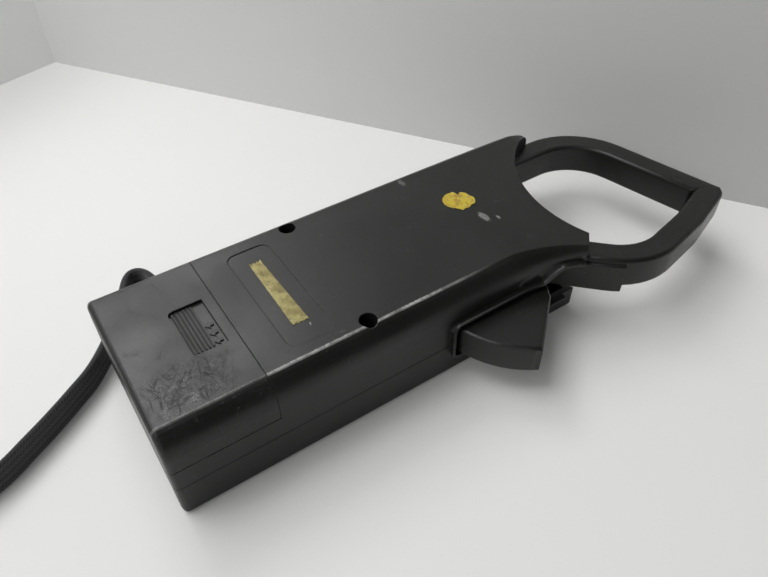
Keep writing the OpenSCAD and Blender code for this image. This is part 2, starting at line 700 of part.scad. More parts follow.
module jaw_lever() color(charcoal) {
    start = [arm_start[0] - 8 * cos(arm_heading), arm_start[1] - 8 * sin(arm_heading), arm_heading];
    difference() {
        union() {
            difference() {
                union() {
                    bar(trail(start, concat([[8, 0]], arm_legs)),
                        rounded_section(-jaw_w / 2, jaw_w / 2, jaw_z0, jaw_z0 + jaw_t, jaw_edge_r));
                    bar(trail(start, concat([[8, 0]], sleeve_legs)),
                        rounded_section(-jaw_w / 2 + 0.4, jaw_w / 2 + sleeve_out, sleeve_z0,
                                        sleeve_z1, 0.8));
                }
                arm_ends(seam_gap, root_r);
            }
            translate([pivot[0], pivot[1], 0]) {
                hull() {
                    translate([0, 0, trig_z0]) linear_extrude(trig_t) trigger_view(trig_edge);
                    translate([0, 0, trig_z0 + trig_edge])
                        linear_extrude(trig_t - 2 * trig_edge) trigger_view(0);
                }
                translate([0, 0, trig_z0]) cylinder(r = boss_r + 0.6, h = slot_z1 - 0.3 - trig_z0);
            }
        }
        translate([pivot[0], pivot[1], 0]) cylinder(r = pin_r + pin_play, h = case_h);
        difference() {
            bar(trail(start, concat([[8, 0]], arm_legs, [[2, 0]])),
                plain_section(-core_w / 2 - 0.3, core_w / 2 + 0.3, core_z0 - 0.3, core_z1 + 0.3));
            translate([arm_start[0] - far, arm_start[1] - 20, 0]) cube([far, 40, case_h]);
        }
        // hole for the spring's leg
        translate([pivot[0] - spring_r, pivot[1] - spring_leg, trig_z0 - 1])
            cylinder(r = spring_wire + 0.3, h = 3.2, $fn = 24);
    }
}

module moving_core() color(steel) {
    difference() {
        bar(trail([arm_start[0] - 4, arm_start[1] - 4, arm_heading],
                  concat([[4 * sqrt(2), 0]], arm_legs)),
            plain_section(-core_w / 2, core_w / 2, core_z0, core_z1));
        arm_ends(seam_gap + 0.1, root_r - 0.7);
    }
}

coil_x = [core_end_x - 29, core_end_x - 12];
coil_y = fixed_root_y - core_bend_r;
coil_z = (core_z0 + core_z1) / 2;

// Ring around the core's straight run, from x0 to x1, b thick over a bobbin of 0.5
module core_ring(x0, x1, inner, outer) {
    translate([x0, coil_y, coil_z]) rotate([90, 0, 90]) difference() {
        plate(core_w + 2 * outer, core_z1 - core_z0 + 2 * outer, x1 - x0, 0.9);
        translate([0, 0, -1])
            plate(core_w + 2 * inner, core_z1 - core_z0 + 2 * inner, x1 - x0 + 2, 0.1);
    }
}

module pickup_coil() color(copper) core_ring(coil_x[0], coil_x[1], 0.7, 1.6);

module coil_bobbin() color(dark) {
    core_ring(coil_x[0], coil_x[1], 0.15, 0.65);
    core_ring(coil_x[0] - 0.8, coil_x[0], 0.15, 1.9);
    core_ring(coil_x[1], coil_x[1] + 0.8, 0.15, 1.9);
}

module coil_leads() color([0.6, 0.1, 0.08]) {
    for (d = [0, 3])
        wire([[coil_x[0] + 1 + d, coil_y - 2.6, core_z0 - 2.1],
              [coil_x[0] + 0.5 + d, coil_y - 4.6, core_z0 - 3.4],
              [coil_x[0] - 0.5 + d, coil_y - 7.4, core_z0 - 5],
              [coil_x[0] - 1 + d, board_y1 - 3, board_z + board_t + 0.3]], 0.45, 6);
}

module jaw_pin() color(steel) {
    translate([pivot[0], pivot[1], wall + 0.8])
        cylinder(r = pin_r, h = top_z(pivot[1]) - 2 * wall - 1);
}

module jaw_spring() color(steel) {
    translate([pivot[0], pivot[1], 0]) {
        // fixed leg, close-wound coil and the leg under the lever, in one wire
        wire(concat([[-spring_r, 2 * spring_leg, coil_z0]],
                    [for (k = [0:12 * spring_turns]) [spring_r * cos(180 + 30 * k),
                        spring_r * sin(180 + 30 * k), mix(coil_z0, coil_z1, k / (12 * spring_turns))]],
                    [[-spring_r, -spring_leg, coil_z1]]), spring_wire, 8);
        // its end, turned up into the lever
        translate([-spring_r, -spring_leg, coil_z1 - spring_wire])
            cylinder(r = spring_wire, h = trig_z0 + 1.6 - coil_z1 + spring_wire, $fn = 16);
    }
}

module case_screws() color(steel) {
    for (x = [-1, 1]) translate([x * screw_x, screw_y, 0]) {
        translate([0, 0, 5.5]) cylinder(r = 1.28, h = screw_seat_z - 5.5, $fn = 32);
        translate([0, 0, part_z]) cylinder(r = screw_r, h = screw_seat_z - part_z, $fn = 32);
        difference() {
            translate([0, 0, screw_seat_z]) cylinder(r = screw_head_r, h = 2, $fn = 32);
            for (a = [0, 90]) translate([0, 0, screw_seat_z + 2]) rotate(a)
                cube([3.4, 0.8, 2], center = true);
        }
    }
}

// ---------- Board and what it carries ----------

module circuit_board() color(board_green) {
    translate([0, 0, board_z]) linear_extrude(board_t) difference() {
        union() {
            translate([-board_x, board_y0]) square([2 * board_x, dial_y + 7 - board_y0]);
            translate([-board_x, board_y0]) square([board_x + board_notch_x, board_y1 - board_y0]);
        }
        for (x = [-1, 1]) translate([x * screw_x, screw_y]) circle(tube_r + 0.3);
        for (p = posts) translate(p) circle(1.1);
        translate([0, dial_y]) circle(2.6);
        translate([-board_x - 1, board_y0 - 1]) square([6, 9]);
    }
}

module board_screws() color(steel) {
    for (p = posts) translate([p[0], p[1], 0]) {
        translate([0, 0, 5]) cylinder(r = 0.88, h = board_z + board_t - 5, $fn = 24);
        translate([0, 0, board_z + board_t]) cylinder(r = 2, h = 1.3, $fn = 32);
    }
}

board_top = board_z + board_t;

module main_chip() color(dark) translate([chip_at[0], chip_at[1], board_top]) {
    translate([0, 0, 0.3]) plate(chip_w, chip_w, chip_t, 0.4);
    // leads along the four sides
    for (a = [0, 90, 180, 270], k = [-5:5]) rotate(a)
        translate([chip_w / 2 - 0.2, pin_pitch * k - 0.2, 0]) cube([1.6, 0.4, 0.5]);
}

module capacitors() color([0.12, 0.16, 0.35]) {
    for (p = small_caps) translate([p[0], p[1], board_top])
        cylinder(r = small_cap_r, h = small_cap_h, $fn = 32);
    translate([large_cap_at[0], large_cap_at[1], board_top])
        cylinder(r = large_cap_r, h = large_cap_h, $fn = 32);
}

module trimmers() color([0.2, 0.35, 0.6]) {
    for (k = [0:2]) translate([trimmer_at[0] + trimmer_pitch * k, trimmer_at[1], board_top]) difference() {
        plate(trimmer_w, trimmer_w, trimmer_t, 0.6);
        translate([0, 0, trimmer_t - 0.5]) cube([0.6 * trimmer_w, 0.8, 2], center = true);
    }
}

module resistors() color([0.75, 0.65, 0.45]) {
    // the last two stand further up the board
    for (k = [0:6]) translate([resistor_at[0] + resistor_pitch * k, resistor_at[1] + (k > 4 ? 4 : 0),
                               board_top + 0.1]) {
        translate([0, 0, resistor_r]) rotate([-90, 0, 0]) cylinder(r = resistor_r, h = resistor_l, $fn = 24);
        translate([0, -0.8, resistor_r]) rotate([-90, 0, 0])
            cylinder(r = 0.3, h = resistor_l + 1.6, $fn = 16);
        for (y = [-0.6, resistor_l + 0.6]) translate([0, y, 0])
            cylinder(r = 0.32, h = resistor_r + 0.25, $fn = 16);
    }
}

module shunt() color(copper) translate([0, shunt_y, board_top]) {
    for (x = [-1, 1] * shunt_l / 2) translate([x, 0, 0]) {
        cylinder(r = shunt_r, h = shunt_rise, $fn = 24);
        translate([0, 0, shunt_rise]) sphere(r = shunt_r, $fn = 24);
    }
    translate([-shunt_l / 2, 0, shunt_rise]) rotate([0, 90, 0]) cylinder(r = shunt_r, h = shunt_l, $fn = 24);
}

module fuse() translate([fuse_at[0], fuse_at[1], board_top]) {
    translate([0, 0, fuse_cap_r + 0.5]) rotate([-90, 0, 0]) {
        color([0.85, 0.88, 0.9]) translate([0, 0, fuse_cap_l - 0.5])
            cylinder(r = fuse_r, h = fuse_l - 2 * fuse_cap_l + 1, $fn = 32);
        color(steel) for (z = [0, fuse_l - fuse_cap_l]) translate([0, 0, z])
            cylinder(r = fuse_cap_r, h = fuse_cap_l, $fn = 32);
    }
    // its two clips
    color(steel) for (y = [0.5, fuse_l - 3.5]) translate([-1.8, y, 0]) cube([3.6, 2.6, 1.4]);
}

module buzzer() color(dark) translate([buzzer_at[0], buzzer_at[1], board_top]) difference() {
    cylinder(r = buzzer_r, h = buzzer_h);
    translate([0, 0, buzzer_h - 1]) cylinder(r = 1.2, h = 2, $fn = 24);
}

glass_z = window_t + 1.4;
module display_glass() color([0.45, 0.5, 0.42])
    translate([0, window_y, glass_z]) plate(window_w, window_l - 1, glass_t, 0.5);

module display_frame() color(dark) {
    translate([0, window_y, glass_z + glass_t]) difference() {
        plate(window_w + 2, window_l + 3, board_z - glass_z - glass_t, 1);
        translate([0, 0, -1]) plate(window_w - 4, window_l - 2, 12, 0.5);
    }
}

module contact_strips() color([0.85, 0.4, 0.5]) {
    for (s = [-1, 1]) translate([0, window_y + s * (window_l / 2 - 3), glass_z + glass_t])
        plate(window_w - 8, 2, board_z - glass_z - glass_t, 0.4);
}

module display_window() color([0.8, 0.85, 0.85, 0.4])
    translate([0, window_y, 0.15]) plate(window_w, window_l, window_t, 1.8);

module front_overlay() color(dark) {
    translate([0, dial_y, 0.12]) difference() {
        plate(case_w - 10.6, 2 * dish_r + 4.4, overlay_t, 2.7);
        translate([0, 0, -1]) cylinder(r = dish_r + 0.2, h = 3);
    }
}

module range_dial() color(dark) {
    translate([0, dial_y, 0]) {
        difference() {
            union() {
                translate([0, 0, 2.8]) cylinder(r = dial_r, h = dish_d - 3.1);
                // raised pointer grip
                translate([0, 0, 0.4]) plate(9, 2 * dial_r - 3, 3, 3.2);
                cylinder(r = shaft_r, h = dish_d + dish_floor + 2);
            }
            translate([0, 0, -1]) cylinder(r = shaft_r + 1, h = 1.4);
            translate([0, dial_r - 4.5, 0]) cylinder(r = 1, h = 0.8, $fn = 24);
            // blind holes of the detent balls
            for (s = [-1, 1]) translate([s * (dial_r - 3.5), 0, 3.2]) cylinder(r = 1.05, h = 4, $fn = 24);
            // recess in the shaft's end
            translate([0, 0, dish_d + dish_floor + 1.2]) cylinder(r = 2, h = 3, $fn = 24);
        }
    }
}

module dial_rotor() color([0.8, 0.78, 0.7]) {
    translate([0, dial_y, dish_d + dish_floor + 0.3]) difference() {
        cylinder(r = rotor_r, h = 1.7);
        translate([0, 0, -1]) cylinder(r = shaft_r + 0.02, h = 4);
    }
}

module rotor_contacts() color(brass) {
    for (k = [0:2]) translate([0, dial_y, dish_d + dish_floor + 2]) rotate(120 * k + 20)
        translate([rotor_r - 3, 0, 0]) {
            translate([-1.5, -2.5, 0]) cube([3, 5, 0.4]);
            translate([0, 1.6, 0.4]) cylinder(r = 0.7, h = board_z - dish_d - dish_floor - 2.5, $fn = 24);
        }
}

module detent_balls() color(steel) {
    for (s = [-1, 1]) translate([s * (dial_r - 3.5), dial_y, dish_d - 1.15]) sphere(r = 1, $fn = 32);
}

module sockets() color(brass) {
    sockets_at() {
        translate([0, 0, socket_z0 + 0.1]) tube(socket_r + sleeve_wall, socket_r, socket_z1 - socket_z0);
        // tab that reaches the board
        translate([-1.6, socket_r + 0.3, socket_z1 - 1.2])
            cube([3.2, board_y0 - socket_y - socket_r + 1.7, 0.8]);
        translate([-1.6, board_y0 - socket_y + 1.2, board_top]) cube([3.2, 0.8, socket_z1 - board_top - 0.4]);
    }
}

// ---------- Hold button ----------

module hold_button() color(dark) {
    hold_opening(0, -half_w - hold_out, -half_w + wall + 0.3);
    hold_opening(1.2, -half_w + wall + 0.2, -half_w + wall + 1.1);
    translate([-half_w + wall + 1, hold_y, hold_z]) rotate([0, 90, 0])
        cylinder(r = 1.4, h = 2.6, $fn = 32);
}

module hold_switch() color(dark) {
    x0 = -half_w + wall + 2.8;
    translate([x0, hold_y, 0]) difference() {
        translate([0, -3.5, board_top]) cube([4, 7, hold_z + 2.6 - board_top]);
        translate([-1, 0, hold_z]) rotate([0, 90, 0]) cylinder(r = 1.5, h = 3.8, $fn = 32);
    }
}

// ---------- Battery ----------

battery_x = -box_x + 0.6;
battery_y = (box_y0 + box_y1) / 2;
terminal_y = 6.3;

module battery() color([0.25, 0.25, 0.28]) {
    translate([battery_x, battery_y, box_floor + 0.1 + battery_t / 2]) rotate([90, 0, 90])
        plate(battery_w, battery_t, battery_l, 1.6);
}

module battery_terminals() color(steel) {
    translate([battery_x + battery_l, battery_y, box_floor + 0.1 + battery_t / 2])
        rotate([0, 90, 0]) {
            translate([0, -terminal_y, 0]) cylinder(r = 2.9, h = 2.6, $fn = 32);
            translate([0, terminal_y, 0]) tube(3.9, 3.1, 2.6);
        }
}

module battery_snap() color(dark) {
    translate([battery_x + battery_l + 2.7, battery_y, box_floor + 0.1 + battery_t / 2])
        rotate([90, 0, 90]) plate(24, 11, 1.6, 3);
    translate([battery_x + battery_l, battery_y, box_floor + 0.1 + battery_t / 2])
        rotate([0, 90, 0]) {
            translate([0, -terminal_y, 0.3]) tube(3.9, 3, 2.5);
            translate([0, terminal_y, 0.3]) cylinder(r = 2.9, h = 2.5, $fn = 32);
        }
}

module battery_leads() color([0.6, 0.1, 0.08]) {
    x = battery_x + battery_l + 4.6;
    for (s = [0, 1.8])
        wire([[x, battery_y + 3, box_floor + 8.6 - s],
              [x + 2.4, battery_y + 6, box_floor + 8.6 - s],
              [box_x - 2.6, box_y1 - 3, box_floor + 8.6 - s],
              [box_x - 2.6, box_y1 + 1.5, box_floor + 8.6 - s],
              [box_x - 3.4 - s, box_y1 + 5.5, box_floor + 4],
              [box_x - 4.4 - 2 * s, box_y1 + 7.5, board_top + 0.3]], 0.45, 8);
}

// ---------- Labels and strap ----------

module foil_label() color([0.66, 0.62, 0.4])
    translate([0, label_y, case_h - label_d]) plate(34, 5.6, 0.12, 0.4);

module torn_label() color([0.8, 0.65, 0.2])
    translate([torn_at[0], torn_at[1], top_z(torn_at[1]) + 0.02]) linear_extrude(0.15)
        polygon([for (k = [0:19]) let (a = 18 * k, r = 5.6 + 0.7 * sin(5 * a) + 0.5 * cos(3 * a))
            [r * cos(a), r * 0.8 * sin(a)]]);

module strap_post() color(steel)
    translate([post_x, strap_y, wall - 1]) cylinder(r = 1.2, h = post_top - wall + 1, $fn = 24);

// Flat band standing on edge
module strap() color(dark) {
    half = strap_w / 2;
    thin = strap_t / 2;
    n = len(strap_route);
    section = [[thin, 0.5 - half], [thin, half - 0.5], [thin - 0.5, half], [0.5 - thin, half],
               [-thin, half - 0.5], [-thin, 0.5 - half], [0.5 - thin, -half], [thin - 0.5, -half]];
    skin([for (i = [0:n - 1]) let (
            d = strap_route[min(i + 1, n - 1)] - strap_route[max(i - 1, 0)],
            side = [d[1], -d[0], 0] / norm([d[0], d[1]]))
        [for (q = section) strap_route[i] + q[0] * side + [0, 0, q[1]]]]);
}

// ---------- Assembly ----------

module placed() translate([0, -dial_y, 0]) children();

placed() front_shell();
placed() rear_shell();
placed() battery_cover();
placed() fixed_jaw();
placed() jaw_lever();
placed() fixed_core();
placed() moving_core();
placed() pickup_coil();
placed() coil_bobbin();
placed() coil_leads();
placed() jaw_pin();
placed() jaw_spring();
placed() case_screws();
placed() circuit_board();
placed() board_screws();
placed() main_chip();
placed() capacitors();
placed() trimmers();
placed() resistors();
placed() shunt();
placed() fuse();
placed() buzzer();
placed() display_glass();
placed() display_frame();
placed() contact_strips();
placed() display_window();
placed() front_overlay();
placed() range_dial();
placed() dial_rotor();
placed() rotor_contacts();
placed() detent_balls();
placed() sockets();
placed() hold_button();
placed() hold_switch();
placed() battery();
placed() battery_terminals();
placed() battery_snap();
placed() battery_leads();
placed() foil_label();
placed() torn_label();
placed() strap_post();
placed() strap();
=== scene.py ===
"""Looks of the clamp-on meter: moulded case, swinging jaw, dial side, labels and braided strap."""
import math

import bmesh
import bpy
from mathutils import Matrix, Vector


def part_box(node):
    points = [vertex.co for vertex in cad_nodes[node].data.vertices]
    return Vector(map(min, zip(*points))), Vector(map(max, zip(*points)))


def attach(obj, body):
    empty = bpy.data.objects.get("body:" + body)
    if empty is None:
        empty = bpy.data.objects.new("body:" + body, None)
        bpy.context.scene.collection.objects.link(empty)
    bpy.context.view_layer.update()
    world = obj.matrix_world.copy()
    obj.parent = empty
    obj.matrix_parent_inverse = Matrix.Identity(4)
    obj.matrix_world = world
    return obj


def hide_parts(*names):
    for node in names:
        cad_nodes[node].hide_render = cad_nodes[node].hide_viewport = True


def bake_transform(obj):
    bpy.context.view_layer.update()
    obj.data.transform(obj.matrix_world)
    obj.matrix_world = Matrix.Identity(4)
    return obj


MM = 0.001
DIAL_Y = 91.8  # the solids' lengths are counted from the battery end, the dial's axis is the origin

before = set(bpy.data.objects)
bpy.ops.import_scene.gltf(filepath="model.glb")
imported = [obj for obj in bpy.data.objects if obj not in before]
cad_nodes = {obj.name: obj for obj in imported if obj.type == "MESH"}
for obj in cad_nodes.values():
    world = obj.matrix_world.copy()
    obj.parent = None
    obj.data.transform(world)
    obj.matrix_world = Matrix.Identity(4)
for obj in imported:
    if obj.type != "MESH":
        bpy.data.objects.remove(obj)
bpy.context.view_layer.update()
bpy.ops.object.select_all(action="DESELECT")


def at(x, y, z):
    """A point given in millimetres from the battery end, as a place in the row frame."""
    return Vector((x * MM, (y - DIAL_Y) * MM, z * MM))


# ---------- Camera ----------

CAMERA_PLACE = (152.31, -3.705, 195.556)
CAMERA_YAW = -0.990756
CAMERA_PITCH = 0.777848
CAMERA_ROLL = -0.008569
FOCAL_PIXELS = 682.527
FRAME_WIDTH_PIXELS = 768
SENSOR_WIDTH = 36.0
NEAREST_SEEN = 0.005
FARTHEST_SEEN = 20.0


def add_camera():
    forward = Vector((math.cos(CAMERA_PITCH) * math.sin(CAMERA_YAW),
                      math.cos(CAMERA_PITCH) * math.cos(CAMERA_YAW),
                      -math.sin(CAMERA_PITCH)))
    level = Vector((math.cos(CAMERA_YAW), -math.sin(CAMERA_YAW), 0))
    upright = level.cross(forward)
    right = math.cos(CAMERA_ROLL) * level + math.sin(CAMERA_ROLL) * upright
    up = -math.sin(CAMERA_ROLL) * level + math.cos(CAMERA_ROLL) * upright
    turn = Matrix((right, up, -forward)).transposed()
    bpy.ops.object.camera_add(location=at(*CAMERA_PLACE), rotation=turn.to_euler())
    camera = bpy.context.object
    camera.name = "camera"
    camera.data.sensor_width = SENSOR_WIDTH
    camera.data.lens = FOCAL_PIXELS / FRAME_WIDTH_PIXELS * SENSOR_WIDTH
    camera.data.clip_start = NEAREST_SEEN
    camera.data.clip_end = FARTHEST_SEEN
    bpy.context.scene.camera = camera


add_camera()
scene = bpy.context.scene
scene.view_settings.view_transform = "Standard"


# ---------- Building blocks for materials ----------

class Shading:
    """Short names for adding and joining nodes in one tree."""

    def __init__(self, tree):
        self.tree = tree
        self.nodes = tree.nodes
        self.links = tree.links

    def add(self, kind, **sockets):
        made = self.nodes.new(kind)
        for name, value in sockets.items():
            self.put(made, name.replace("_", " "), value)
        return made

    def put(self, made, name, value):
        socket = made.inputs[int(name)] if name.isdigit() else made.inputs[name]
        if isinstance(value, bpy.types.NodeSocket):
            self.links.new(value, socket)
        else:
            socket.default_value = value

    def math(self, operation, *values):
        made = self.nodes.new("ShaderNodeMath")
        made.operation = operation
        for i, value in enumerate(values):
            self.put(made, str(i), value)
        return made.outputs[0]

    def vector(self, operation, *values, out="Vector"):
        made = self.nodes.new("ShaderNodeVectorMath")
        made.operation = operation
        for i, value in enumerate(values):
            self.put(made, str(i), value)
        return made.outputs[out]

    def range(self, value, low, high, to_low=0.0, to_high=1.0):
        """Smooth step from to_low at low to to_high at high; low may be the larger one."""
        made = self.nodes.new("ShaderNodeMapRange")
        made.interpolation_type = "SMOOTHSTEP"
        for i, number in enumerate((value, low, high, to_low, to_high)):
            self.put(made, str(i), number)
        return made.outputs["Result"]

    def mix(self, share, first, second):
        made = self.nodes.new("ShaderNodeMix")
        made.data_type = "RGBA"
        self.put(made, "0", share)
        self.put(made, "6", first)
        self.put(made, "7", second)
        return made.outputs[2]

    def noise(self, place, scale, detail=3.0, roughness=0.55):
        made = self.add("ShaderNodeTexNoise", Vector=place, Scale=scale, Detail=detail,
                        Roughness=roughness)
        return made.outputs["Fac"]

    def place(self):
        return self.nodes.new("ShaderNodeTexCoord").outputs["Object"]

    def axes(self, place):
        return self.add("ShaderNodeSeparateXYZ", Vector=place).outputs

    def mapped(self, place, turn=(0, 0, 0), stretch=(1, 1, 1), shift=(0, 0, 0)):
        made = self.add("ShaderNodeMapping", Vector=place)
        made.inputs["Location"].default_value = shift
        made.inputs["Rotation"].default_value = turn
        made.inputs["Scale"].default_value = stretch
        return made.outputs["Vector"]


def start_group(name, inputs, outputs):
    tree = bpy.data.node_groups.new(name, "ShaderNodeTree")
    for label, kind, value in inputs:
        made = tree.interface.new_socket(name=label, in_out="INPUT", socket_type=kind)
        if value is not None:
            made.default_value = value
    for label, kind in outputs:
        tree.interface.new_socket(name=label, in_out="OUTPUT", socket_type=kind)
    s = Shading(tree)
    return s, s.nodes.new("NodeGroupInput").outputs, s.nodes.new("NodeGroupOutput")


FLOAT, VECTOR = "NodeSocketFloat", "NodeSocketVector"


def make_moulded_grain():
    """Fine spark-eroded skin of a moulding."""
    s, given, out = start_group("moulded_grain", [("Grain per m", FLOAT, 2600.0), ("Depth", FLOAT, 1.0)],
                                [("Height", FLOAT)])
    place = s.place()
    fine = s.noise(place, given["Grain per m"], 2.0, 0.6)
    broad = s.noise(place, 420.0, 2.0, 0.5)
    both = s.math("ADD", fine, s.math("MULTIPLY", broad, 0.6))
    s.put(out, "Height", s.math("MULTIPLY", both, given["Depth"]))
    return s.tree


def make_edge_wear():
    """Where edges stand proud and get rubbed, broken up by noise."""
    s, given, out = start_group("edge_wear", [("Radius", FLOAT, 0.0006), ("Amount", FLOAT, 1.0)],
                                [("Mask", FLOAT), ("Normal", VECTOR)])
    bevel = s.nodes.new("ShaderNodeBevel")
    bevel.samples = 4
    s.put(bevel, "Radius", given["Radius"])
    flat = s.nodes.new("ShaderNodeNewGeometry").outputs["Normal"]
    turned = s.vector("DOT_PRODUCT", bevel.outputs["Normal"], flat, out="Value")
    edge = s.range(s.math("SUBTRACT", 1.0, turned), 0.02, 0.22)
    broken = s.range(s.noise(s.place(), 700.0, 4.0, 0.7), 0.38, 0.62)
    s.put(out, "Mask", s.math("MULTIPLY", s.math("MULTIPLY", edge, broken), given["Amount"]))
    s.put(out, "Normal", bevel.outputs["Normal"])
    return s.tree


HAIRLINE_ANGLES = (0.2, 0.75, 1.3, 1.85, 2.4, 2.95)


def make_hairlines():
    """Thin scratches in several directions, each set kept to its own patches."""
    s, given, out = start_group("hairlines", [("Per m", FLOAT, 60.0), ("Cover", FLOAT, 0.5),
                                              ("Thickness", FLOAT, 0.02)], [("Mask", FLOAT)])
    place = s.place()
    drift = s.add("ShaderNodeTexNoise", Vector=place, Scale=45.0, Detail=1.0).outputs["Color"]
    bend = s.nodes.new("ShaderNodeVectorMath")
    bend.operation = "SCALE"
    s.put(bend, "0", drift)
    bend.inputs["Scale"].default_value = 0.006
    bent = s.vector("ADD", place, bend.outputs["Vector"])
    total = None
    for k, angle in enumerate(HAIRLINE_ANGLES):
        turned = s.mapped(bent, turn=(0, 0, angle), shift=(0.13 * k, 0.07 * k, 0))
        thin = s.mapped(turned, stretch=(0.055, 1.0, 0.055))
        lines = s.noise(thin, s.math("MULTIPLY", given["Per m"], 15.0), 1.0, 0.4)
        line = s.range(s.math("ABSOLUTE", s.math("SUBTRACT", lines, 0.5)), given["Thickness"], 0.0)
        patch = s.range(s.noise(turned, s.math("MULTIPLY", given["Per m"], 2.0), 2.0, 0.6),
                        s.math("SUBTRACT", 1.0, given["Cover"]), s.math("SUBTRACT", 1.08, given["Cover"]))
        part = s.math("MULTIPLY", line, patch)
        total = part if total is None else s.math("MAXIMUM", total, part)
    s.put(out, "Mask", total)
    return s.tree


def make_handling():
    """Broad patches where hands have polished the surface, and fine dust."""
    s, given, out = start_group("handling", [("Size per m", FLOAT, 28.0)],
                                [("Polish", FLOAT), ("Dust", FLOAT)])
    place = s.place()
    polish = s.range(s.noise(place, given["Size per m"], 3.0, 0.6), 0.35, 0.68)
    speck = s.range(s.noise(place, 1900.0, 2.0, 0.5), 0.69, 0.74)
    drift = s.range(s.noise(place, 55.0, 2.0, 0.6), 0.45, 0.75)
    s.put(out, "Polish", polish)
    s.put(out, "Dust", s.math("MULTIPLY", speck, drift))
    return s.tree


GRAIN = make_moulded_grain()
WEAR = make_edge_wear()
HAIRLINES = make_hairlines()
HANDLING = make_handling()


def use(s, group, **values):
    made = s.nodes.new("ShaderNodeGroup")
    made.node_tree = group
    for name, value in values.items():
        s.put(made, name.replace("_", " "), value)
    return made


def start_material(name):
    made = bpy.data.materials.new(name)
    made.use_nodes = True
    s = Shading(made.node_tree)
    shader = s.nodes["Principled BSDF"]
    return made, s, shader


def bump(s, shader, height, distance, normal=None, strength=1.0):
    made = s.add("ShaderNodeBump", Height=height, Strength=strength, Distance=distance)
    if normal is not None:
        s.put(made, "Normal", normal)
    s.put(shader, "Normal", made.outputs["Normal"])


def rgb(r, g, b):
    return (r, g, b, 1.0)


# ---------- Moulded case plastic ----------

CASE_COLOUR = rgb(0.0094, 0.0100, 0.0088)
CASE_WORN = rgb(0.075, 0.077, 0.072)
CASE_PALER = rgb(0.0126, 0.0132, 0.0119)
SCRATCH_PALE = rgb(0.09, 0.09, 0.088)
SCRATCH_DARK = rgb(0.004, 0.004, 0.004)
DUST_GREY = rgb(0.16, 0.16, 0.15)
SPECK_GREY = rgb(0.15, 0.15, 0.147)
SCUFF_GREY = rgb(0.30, 0.30, 0.29)
# colour of the crease line, partly wear and partly painted highlight
CREASE_BRIGHT = rgb(0.42, 0.42, 0.41)
# painted highlight colour for the bead over the trigger
BEAD_HIGHLIGHT_GREY = rgb(0.11, 0.11, 0.108)
GROOVE_BLACK = rgb(0.001, 0.001, 0.001)
PARTING_Z = 14.4


def distance_from(s, place, x, y, turn=0.0, stretch=(1.0, 1.0)):
    """Distance over the flat back from a point given in millimetres, turned and stretched."""
    near = s.mapped(place, shift=tuple(-c for c in at(x, y, 0)))
    near = s.mapped(near, turn=(0, 0, turn), stretch=(*stretch, 0.0))
    return s.vector("LENGTH", near, out="Value")


def add_scuffs(s, place, colour, scuffs):
    """Small pale blots with ragged rims."""
    for x, y, size, streak, blot_colour in scuffs:
        far = distance_from(s, place, x, y, streak, (1.0, 2.2))
        ragged = s.math("MULTIPLY", s.math("SUBTRACT", s.noise(place, 900.0, 4.0, 0.75), 0.5), 0.0042)
        blot = s.range(s.math("ADD", far, ragged), size * MM, size * MM * 0.55)
        gaps = s.range(s.noise(place, 1700.0, 3.0, 0.7), 0.36, 0.56, 0.25, 1.0)
        colour = s.mix(s.math("MULTIPLY", s.math("MULTIPLY", blot, gaps), 0.75), colour, blot_colour)
    return colour


def add_rubbed_patch(s, place, colour, rough, patch):
    """Where the case has been dragged about: pale specks and a web of dark hairlines."""
    x, y, width, length = patch
    far = distance_from(s, place, x, y, stretch=(1 / (width * MM), 1 / (length * MM)))
    worn = s.range(s.math("ADD", far, s.noise(place, 90.0, 4.0, 0.7)), 1.6, 0.95)
    web = use(s, HAIRLINES, Per_m=75.0, Cover=0.56, Thickness=0.036).outputs["Mask"]
    web = s.math("MULTIPLY", web, worn)
    specks = s.math("MULTIPLY", s.range(s.noise(place, 2400.0, 3.0, 0.75), 0.50, 0.62),
                    s.range(s.noise(place, 160.0, 3.0, 0.6), 0.42, 0.62))
    colour = s.mix(s.math("MULTIPLY", s.math("MULTIPLY", specks, worn), 0.7), colour, SPECK_GREY)
    colour = s.mix(s.math("MULTIPLY", web, 0.8), colour, SCRATCH_DARK)
    return colour, s.math("ADD", rough, s.math("MULTIPLY", web, 0.22))


def add_crease_wear(s, place, colour, crease):
    """Bright broken line along the sharp long crease of the back, partly rub wear and partly painted
    highlight; it fades towards the jaws.
    """
    crease_x, full_until, gone_by, share = crease
    x, y, z = s.axes(place)
    broken = s.noise(place, 1100.0, 5.0, 0.85)
    patchy = s.range(s.noise(place, 75.0, 3.0, 0.7), 0.34, 0.60, 0.35, 1.0)
    patchy = s.math("MULTIPLY", patchy, s.range(broken, 0.34, 0.60, 0.35, 1.0))
    waver = s.math("MULTIPLY", s.math("SUBTRACT", broken, 0.5), 0.0011)
    off = s.math("ABSOLUTE", s.math("ADD", s.math("SUBTRACT", x, crease_x * MM), waver))
    line = s.math("MULTIPLY", s.range(off, 0.00075, 0.00020), patchy)
    line = s.math("MULTIPLY", line, s.range(y, (gone_by - DIAL_Y) * MM, (full_until - DIAL_Y) * MM))
    line = s.math("MULTIPLY", line, s.range(z, 0.033, 0.035))
    return s.mix(s.math("MULTIPLY", line, share), colour, CREASE_BRIGHT)


def add_bead_wear(s, place, colour, rough):
    """Painted highlight along the raised bead over the trigger, with a little real polish that lowers its
    roughness; it fades towards the jaws.
    """
    x, y, z = s.axes(place)
    rim = s.math("MULTIPLY", s.range(x, 0.0364, 0.0369), s.range(z, 0.0246, 0.0254))
    rim = s.math("MULTIPLY", rim, s.range(z, 0.0272, 0.0264))
    rim = s.math("MULTIPLY", rim, s.range(y, (146 - DIAL_Y) * MM, (104 - DIAL_Y) * MM))
    colour = s.mix(s.math("MULTIPLY", rim, 0.8), colour, BEAD_HIGHLIGHT_GREY)
    return colour, s.math("SUBTRACT", rough, s.math("MULTIPLY", rim, 0.12))


